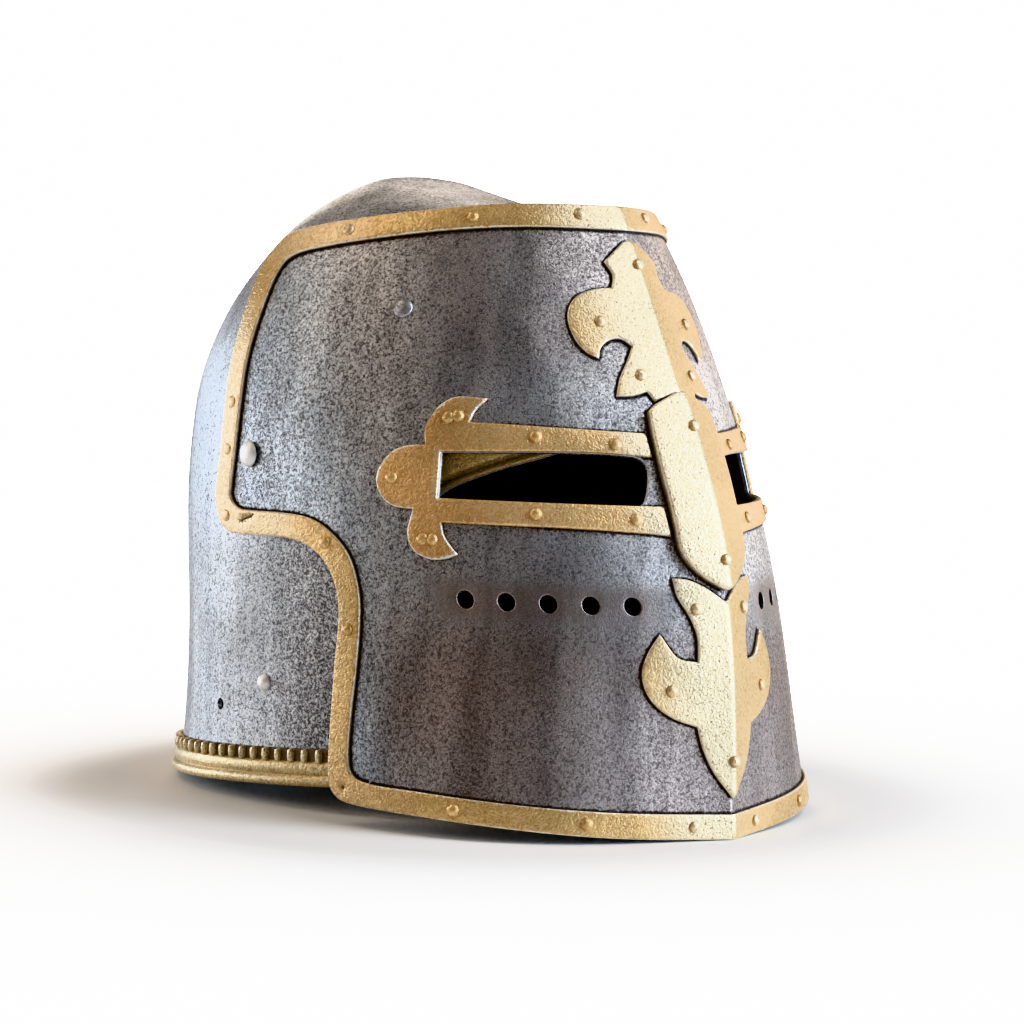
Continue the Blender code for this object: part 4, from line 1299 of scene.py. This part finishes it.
def trim_lip(flat):
    """One on the lip itself, rubbed and lit with a painted highlight."""
    return falls(from_opening(flat), 0.2, 1.0)


# Painted shade over the whole trim, which lies under the face plate, darker still in the
# groove.
def trim_painted_shade(flat):
    return 0.35 + 0.55 * trim_groove(flat)


def trim_dent(flat):
    return GROOVE_DEPTH * trim_groove(flat)


TRIM_CUT = {"form": SKULL, "step": TRIM_STEP, "spacing": 3.0, "soft": 1.6, "drop": 1.2,
            "wall_dirt_and_shade": 0.0, "extra": opening_rows, "dent": trim_dent,
            "values": {"dirt_and_painted_shade": trim_painted_shade, "pale_rub_and_highlight": trim_lip}}
mesh = bent_sheet("gilt_opening_trim", OPENING_TRIM, **{**GILT_CUT, **TRIM_CUT})
add_piece(mesh, "helm", [gilt, gilt], "aged_gold", "face_opening_trim")

# %% [markdown]
# ## Neck band
#
# A gilt moulding round the foot of the skull: a round roll, a flat fascia, and above it a
# dark channel with a row of upright beads, like the rings of a cast cord. The moulding is
# swept from one profile. The beads repeat, so Geometry Nodes set them out.

# %% Neck band moulding
NECK_RIBS_PER_SIDE = 36
CHANNEL_FLOOR = 10.3
# The dark channel behind the beads is darkened with dirt and painted shade.
CHANNEL_SHADE_AND_DIRT = 0.96
BAND_FROM = OPENING_END + 1.5
BAND_BACK = 1.999
BAND_PROFILE = {
    "out":    [0.35, 1.9, 2.9, 3.35, 3.35, 2.95, 2.1, 1.95, 2.45, 2.55, 2.5, 2.0, 1.35,
               1.3, 0.9, 0.35],
    "height": [0.0, 0.0, 0.5, 1.5, 2.8, 4.0, 4.5, 4.8, 5.3, 7.5, 9.6, 10.1, 10.6,
               14.8, 15.6, 15.8],
}


def band_places(count):
    """Turns round the rim from behind the face opening to the back, evenly spaced."""
    turns = np.linspace(0.0, 2.0, RIM_SAMPLES)
    lengths = lengths_round(skull_section, np.zeros(1), turns)[0]
    return np.interp(np.linspace(BAND_FROM, lengths[-1], count), lengths, turns)


def band_point(turn, out, height):
    """Points of the band: level out from the skull, at a height above its rim."""
    level = np.full(len(turn), height)
    base, way = lifted(skull_surface, np.minimum(turn, BAND_BACK), level, 0.0)
    way[:, 2] = 0.0
    way = unit(way)
    point = base + way * out
    point[:, 2] = height + rim_shift(level, point[:, 1])
    point[turn > BAND_BACK, 0] = 0.0
    way[turn > BAND_BACK, 0] = 0.0
    return point, way


def skin(made, rings):
    """Faces between each ring of points and the next; a ring may be a single point."""
    for low, high in zip(rings, rings[1:]):
        sides = max(len(low), len(high))
        for k in range(sides):
            n = (k + 1) % sides
            corners = (low[k % len(low)], low[n % len(low)],
                       high[n % len(high)], high[k % len(high)])
            made.faces.new(list(dict.fromkeys(corners)))


def closed_mesh(made, name, sharp_deg=SHARP_DEG):
    """Keeps what was built as a mesh whose faces look outward."""
    bmesh.ops.recalc_face_normals(made, faces=made.faces)
    mesh = bpy.data.meshes.new(name)
    made.to_mesh(mesh)
    made.free()
    return soften(mesh, sharp_deg)


band_turns = band_places(4 * NECK_RIBS_PER_SIDE + 1)
rings = stand(np.stack([band_point(band_turns, out, height)[0]
                        for out, height in zip(*BAND_PROFILE.values())], 1))
sweep = bmesh.new()
halves = [[sweep.verts.new(p) for p in ring] for ring in rings]
others = [[v if abs(v.co.x) < SAME_PLACE else sweep.verts.new(mirrored(np.array(v.co)))
           for v in ring] for ring in halves]
for half in (halves, others):
    skin(sweep, half)
    sweep.faces.new(half[0])
band_mesh = closed_mesh(sweep, "gilt_neck_band")


def no_edges(mesh):
    """Stores a far edge on every point, for a piece whose edges aren't rubbed."""
    store(mesh, "edge_distance", np.full(len(mesh.vertices), FAR_EDGE))


def band_paleness(places):
    """The band is painted palest at the side and behind: a painted highlight where more light
    falls.
    """
    return 0.2 + 0.5 * rises(places[:, 1], 40.0, 110.0)


def band_painted_shade(places):
    """Painted shade on the band, darkest beside the face plate."""
    return 0.3 * falls(places[:, 1], 0.0, 60.0)


places = np.array([v.co[:] for v in band_mesh.vertices]) / MM
band_heights = np.array(BAND_PROFILE["height"])
in_channel = np.tile(band_heights > CHANNEL_FLOOR, len(places) // len(band_heights))
no_edges(band_mesh)
store(band_mesh, "dirt_and_painted_shade", np.where(in_channel, CHANNEL_SHADE_AND_DIRT, band_painted_shade(places)))
store(band_mesh, "pale_rub_and_highlight", band_paleness(places))
add_piece(band_mesh, "helm", [gilt_band], "aged_gold", "neck_band")

# %% [markdown]
# ## Small things that repeat
#
# Two small Geometry Nodes trees set out the beads of the neck band and the rivet heads. A
# tree takes a cloud of points with a stored way out, puts one shape on each point, turns
# it to face out, and makes the result real geometry.


# %% Geometry Nodes helpers
def set_out_tree(name, sizes, shape_of):
    """A tree that sets one shape on every point; shape_of adds the shape's own nodes."""
    tree = bpy.data.node_groups.new(name, "GeometryNodeTree")
    tree.interface.new_socket("Geometry", in_out="INPUT", socket_type="NodeSocketGeometry")
    for label in sizes:
        tree.interface.new_socket(label, in_out="INPUT", socket_type=FLOAT)
    tree.interface.new_socket("Finish", in_out="INPUT", socket_type="NodeSocketMaterial")
    tree.interface.new_socket("Geometry", in_out="OUTPUT", socket_type="NodeSocketGeometry")
    start = put(tree, "NodeGroupInput").outputs
    shape = shape_of(tree, start)
    way = put(tree, "GeometryNodeInputNamedAttribute", {"Name": "way_out"},
              data_type="FLOAT_VECTOR")
    upright = put(tree, "FunctionNodeAxesToRotation",
                  {0: way.outputs[0], 1: (0.0, 0.0, 1.0)},
                  primary_axis="Y", secondary_axis="Z")
    size = put(tree, "FunctionNodeRandomValue", {2: 0.94, 3: 1.06, "Seed": 11},
               data_type="FLOAT")
    many = put(tree, "GeometryNodeInstanceOnPoints",
               {"Points": start["Geometry"], "Instance": shape,
                "Rotation": upright.outputs[0], "Scale": size.outputs[1]})
    real = put(tree, "GeometryNodeRealizeInstances", {"Geometry": many.outputs[0]})
    smooth = put(tree, "GeometryNodeSetShadeSmooth", {"Geometry": real.outputs[0]})
    finish = put(tree, "GeometryNodeSetMaterial",
                 {"Geometry": smooth.outputs[0], "Material": start["Finish"]})
    put(tree, "NodeGroupOutput", {0: finish.outputs[0]})
    return tree


def grown(name, tree, sizes, points, ways, pale, body, finish):
    """Sets a tree's shape on every point and keeps the result as a plain gilt mesh."""
    spots = bpy.data.meshes.new(name + "_places")
    spots.from_pydata(points.tolist(), [], [])
    store(spots, "pale_rub_and_highlight", pale)
    layer = spots.attributes.new("way_out", "FLOAT_VECTOR", "POINT")
    layer.data.foreach_set("vector", ways.astype(np.float32).ravel())
    cloud = placed(name + "_places", spots)
    modifier = cloud.modifiers.new("set_out", "NODES")
    modifier.node_group = tree
    values = {**sizes, "Finish": finish}
    for item in tree.interface.items_tree:
        if item.name in values:
            modifier[item.identifier] = values[item.name]
    spots.update()
    whole = cloud.evaluated_get(bpy.context.evaluated_depsgraph_get())
    mesh = bpy.data.meshes.new_from_object(whole)
    mesh.name = name
    cloud.modifiers.remove(modifier)
    bpy.data.objects.remove(cloud)
    no_edges(mesh)
    mesh.materials.clear()
    add_piece(mesh, body, [finish], "aged_gold")


def size_of(tree, start, labels):
    """The three named sizes of a shape as one vector."""
    return put(tree, "ShaderNodeCombineXYZ",
               {k: start[label] for k, label in enumerate(labels)}).outputs[0]


def rounded_block(tree, start):
    """A block rounded towards a ball, sized by Width, Depth and Tall."""
    block = put(tree, "GeometryNodeMeshCube",
                {"Size": (2.0, 2.0, 2.0), "Vertices X": 5, "Vertices Y": 5, "Vertices Z": 7})
    place = put(tree, "GeometryNodeInputPosition").outputs[0]
    ball = put(tree, "ShaderNodeVectorMath", {0: place}, operation="NORMALIZE").outputs[0]
    mixed = put(tree, "ShaderNodeMix", {0: 0.72, 4: place, 5: ball}, data_type="VECTOR")
    sized = put(tree, "ShaderNodeVectorMath",
                {0: mixed.outputs[1], 1: size_of(tree, start, ("Width", "Depth", "Tall"))},
                operation="MULTIPLY").outputs[0]
    return put(tree, "GeometryNodeSetPosition",
               {"Geometry": block.outputs[0], "Position": sized}).outputs[0]


def ball_cap(tree, start):
    """A ball flattened to a rivet head, sized by Radius and Rise, with dirt and painted shade
    at one side of its foot.
    """
    ball = put(tree, "GeometryNodeMeshUVSphere", {"Segments": 24, "Rings": 20, "Radius": 1.0})
    place = put(tree, "GeometryNodeInputPosition").outputs[0]
    parts = put(tree, "ShaderNodeSeparateXYZ", {0: place}).outputs
    low = remap(tree, parts["Y"], 0.3, 0.95, 1.0, 0.0)
    # The darkening is kept to one side of the head, as painted shade.
    rearward = remap(tree, parts["X"], -0.1, 0.6, 0.1, 0.9)
    dirt_and_shade_amount = put(tree, "GeometryNodeStoreNamedAttribute",
                {"Geometry": ball.outputs[0], "Name": "dirt_and_painted_shade",
                 "Value": times(tree, low, rearward)},
                data_type="FLOAT", domain="POINT")
    return put(tree, "GeometryNodeTransform",
               {"Geometry": dirt_and_shade_amount.outputs[0],
                "Scale": size_of(tree, start, ("Radius", "Rise", "Radius"))}).outputs[0]


def on_both_sides(points, *more):
    """Adds the left side's twins of points, ways out and other values, off the ridge."""
    off_ridge = np.abs(points[:, 0]) > TINY
    return [np.concatenate([part, (mirrored(part) if part.ndim > 1 else part)[off_ridge]])
            for part in (points, *more)]


bead_tree = set_out_tree("beads_in_a_row", ("Width", "Depth", "Tall"), rounded_block)
rivet_tree = set_out_tree("rivet_heads", ("Radius", "Rise"), ball_cap)

# %% [markdown]
# ### Beads of the neck band
#
# Each bead is much narrower than the pitch, so dark gaps show between them.

# %% Beads
BEAD_HEIGHT = 12.9
BEAD_OUT = 1.6
BEAD_SIZE = {"Width": 0.0013, "Depth": 0.0022, "Tall": 0.0031}

points, ways = band_point(band_places(NECK_RIBS_PER_SIDE + 1), BEAD_OUT, BEAD_HEIGHT)
points, ways = on_both_sides(stand(points), stand_direction(ways))
# The beads are paler still: a painted highlight on their crests.
grown("gilt_neck_beads", bead_tree, BEAD_SIZE, points, ways,
      0.75 + 0.2 * band_paleness(points / MM), "helm", gilt_band)

# %% [markdown]
# ### Rivet heads
#
# Low domes along the edging, on the sight frames, on the cross and on the nose plate.
# Three of those on the edging are worn nearly flat. Their places are taken from the real
# piece.

# %% Rivets on the gilt pieces
EDGING_RIVETS = [
    (18.5, 252.2), (64.1, 249.4), (123.5, 242.4), (170.6, 112.6), (163.6, 78.0),
    (116.2, 10.9), (62.7, 8.4), (17.2, 6.6)]
FLAT_RIVETS = [(210.4, 168.0), (220.8, 147.8), (231.4, 119.2)]
FRAME_RIVETS = [(99.2, 166.4), (95.0, 167.2), (130.8, 141.2), (122.2, 117.2),
                (118.0, 117.2), (65.2, 160.2), (33.6, 158.0), (72.8, 129.4),
                (32.6, 128.4)]
CROSS_RIVETS = [(0, 231.8), (24.6, 207.6), (14.0, 186.2), (13.0, 93.6), (25.8, 61.0),
                (0, 32.6)]
NOSE_RIVETS = [(0, 165.0), (0, 112.6)]

DOMED = {"Radius": 0.0026, "Rise": 0.0017}
WORN_FLAT = {"Radius": 0.0026, "Rise": 0.0007}


def face_places(places, lift):
    """Points, ways out and pale rub and highlight of places on both sides of the face plate.
    """
    flat = np.array(places, float)
    return on_both_sides(*seated(FACE, flat, lift), pale_rub_and_highlight(flat))


low_heads = face_places(EDGING_RIVETS + FRAME_RIVETS + CROSS_RIVETS, GILT_TOP)
nose_heads = face_places(NOSE_RIVETS, NOSE_TOP)
heads = [np.concatenate(pair) for pair in zip(low_heads, nose_heads)]
grown("gilt_rivet_heads", rivet_tree, DOMED, *heads, "visor", gilt_rivet)
points, ways, pale = face_places(FLAT_RIVETS, GILT_TOP)
grown("gilt_flat_rivet_heads", rivet_tree, WORN_FLAT, points, ways, np.full(len(pale), 0.3),
      "visor", gilt_rivet)

# %% [markdown]
# ## Turned studs
#
# The two hinge rivets, the two rivets on the skull and the small boss on the right cheek
# are each turned from one profile, as on a lathe.

# %% Studs
STUD_SIDES = 32
STUD_SHARP_DEG = 60.0


def turned_stud(name, profile, point, way):
    """A stud turned from (radius, out) pairs about its own axis."""
    lathe = bmesh.new()
    turn = Vector(way).to_track_quat("Z", "Y").to_matrix()
    base = Vector(point)
    rings = []
    for radius, out in profile:
        ring = circle((0.0, 0.0), radius * MM, STUD_SIDES if radius > 0 else 1)
        rings.append([lathe.verts.new(base + turn @ Vector((x, y, out * MM)))
                      for x, y in ring])
    skin(lathe, rings)
    return closed_mesh(lathe, name, STUD_SHARP_DEG)


PIVOT_Y = 22.0
PIVOT_Z = 146.5
PIVOT_SHOULDER_X = 117.4
PIVOT_PROFILE = [(0.0, 2.9), (1.4, 2.8), (2.7, 2.5), (3.8, 2.05), (4.7, 1.5), (5.3, 0.9),
                 (5.6, 0.3), (5.6, 0.0), (2.5, 0.0), (2.5, -11.7),
                 (4.0, -11.9), (3.2, -13.1), (0.0, -13.1)]
BOSS_PROFILE = [(0.0, 1.2), (1.6, 1.05), (2.9, 0.65), (3.8, 0.15), (4.2, -0.1), (4.2, -0.3),
                (0.0, -0.3)]
RIVET_PROFILE = [(0.0, 2.4), (1.4, 2.2), (2.6, 1.55), (3.4, 0.75), (3.8, 0.1), (3.8, -0.3),
                 (0.0, -0.3)]
CHEEK_BOSS = (106.3, 210.9)
SKULL_RIVET = (172.3, 45.5)

points, ways = seated(SKULL, np.array([SKULL_RIVET]), SEAT_GAP)
side_studs = [
    ("pivot", PIVOT_PROFILE, stand(np.array([-PIVOT_SHOULDER_X, PIVOT_Y, PIVOT_Z])),
     np.array([-1.0, 0.0, 0.0])),
    ("skull", RIVET_PROFILE, points[0], ways[0]),
]
for side, sign in (("right", 1.0), ("left", -1.0)):
    flip = np.array([sign, 1.0, 1.0])
    for part, profile, point, way in side_studs:
        mesh = turned_stud(part + "_stud_" + side, profile, point * flip, way * flip)
        add_piece(mesh, "helm", [silver_stud], "aged_silver", part + "_rivet_" + side)
points, ways = seated(FACE, np.array([CHEEK_BOSS]), SEAT_GAP)
mesh = turned_stud("cheek_stud", BOSS_PROFILE, points[0], ways[0])
add_piece(mesh, "visor", [silver_boss], "aged_silver", "cheek_boss")

# %% [markdown]
# ## Studio
#
# A pale floor, large soft lights at the left behind and at the right in front, and little
# light from where the camera stands: that is what makes worn metal bright at its turns
# and dark where it faces the viewer.

# %% Floor and lights
LIT_PLACE = Vector((0.0, 0.0, 0.14))
COOL = (0.73, 0.85, 1.0)
WARM = (1.0, 0.86, 0.72)
WHITE = (1.0, 1.0, 1.0)
SOFT_LIGHTS = {
    "left_behind": ((-0.75, 1.85, 0.32), (0.75, 0.5), 12.5, COOL),
    "left_side": ((-1.41, 1.41, 0.32), (0.75, 0.5), 6.4, WHITE),
    "left_front": ((-1.65, 0.55, 1.1), (0.9, 0.9), 5.6, WARM),
    "left_high": ((-0.81, 0.81, 1.78), (0.75, 0.75), 6.6, WARM),
    "right_front_low": ((1.09, -1.68, 0.32), (1.5, 0.5), 31.0, COOL),
    "right_front": ((0.91, -1.57, 0.99), (0.75, 0.75), 24.5, COOL),
    "front_high": ((0.39, -1.08, 1.78), (1.0, 0.75), 12.6, WHITE),
    "right_behind": ((0.9, 1.57, 0.99), (0.75, 0.75), 8.0, WARM),
    "right_side": ((1.7, 0.3, 0.6), (0.9, 0.9), 7.0, WARM),
}
FLOOR_REACH = 8.0
PAPER_FADES_FROM = 0.17
PAPER_FADES_TO = 0.55
BACKDROP_WHITE = (1.0, 1.0, 1.0, 1.0)
BACKDROP_GLOW = 12.0
SKY_COLOUR = (1.0, 0.84, 0.74, 1.0)
SKY_GLOW = 0.09

for name, (place, size, power, colour) in SOFT_LIGHTS.items():
    data = bpy.data.lights.new(name, "AREA")
    data.shape = "RECTANGLE"
    data.size, data.size_y = size
    data.energy = power
    data.color = colour
    facing = (Vector(place) - LIT_PLACE).to_track_quat("Z", "Y").to_matrix().to_4x4()
    placed(name, data).matrix_world = Matrix.Translation(place) @ facing


def seen_by_camera(tree):
    return put(tree, "ShaderNodeLightPath").outputs["Is Camera Ray"]


floor_mesh = bpy.data.meshes.new("studio_floor")
corners = [(x * FLOOR_REACH, y * FLOOR_REACH, 0.0)
           for x, y in ((-1, -1), (1, -1), (1, 1), (-1, 1))]
floor_mesh.from_pydata(corners, [], [(0, 1, 2, 3)])
paper, tree, place = new_material("pale_paper")
paper_colour = blend_colour(tree, noise(tree, place, 3.0),
                            (0.90, 0.88, 0.85, 1.0), (0.94, 0.92, 0.89, 1.0))
lit = put(tree, "ShaderNodeBsdfPrincipled", {"Base Color": paper_colour, "Roughness": 0.9})
away = put(tree, "ShaderNodeVectorMath", {0: place}, operation="LENGTH").outputs["Value"]
fade = remap(tree, away, PAPER_FADES_FROM, PAPER_FADES_TO)
glow = put(tree, "ShaderNodeEmission",
           {"Color": BACKDROP_WHITE, "Strength": BACKDROP_GLOW})
faded = put(tree, "ShaderNodeMixShader",
            {0: times(tree, fade, seen_by_camera(tree)), 1: lit.outputs[0],
             2: glow.outputs[0]})
put(tree, "ShaderNodeOutputMaterial", {"Surface": faded.outputs[0]})
floor_mesh.materials.append(paper)
placed("studio_floor", floor_mesh)

world = bpy.data.worlds.new("studio_world")
bpy.context.scene.world = world
world.use_nodes = True
tree = world.node_tree
tree.nodes.clear()
sky = put(tree, "ShaderNodeBackground", {"Color": SKY_COLOUR, "Strength": SKY_GLOW})
white = put(tree, "ShaderNodeBackground",
            {"Color": BACKDROP_WHITE, "Strength": BACKDROP_GLOW})
mixed = put(tree, "ShaderNodeMixShader",
            {0: seen_by_camera(tree), 1: sky.outputs[0], 2: white.outputs[0]})
put(tree, "ShaderNodeOutputWorld", {"Surface": mixed.outputs[0]})
bpy.context.scene.view_settings.view_transform = "Khronos PBR Neutral"

# %% Finish
bpy.context.view_layer.update()
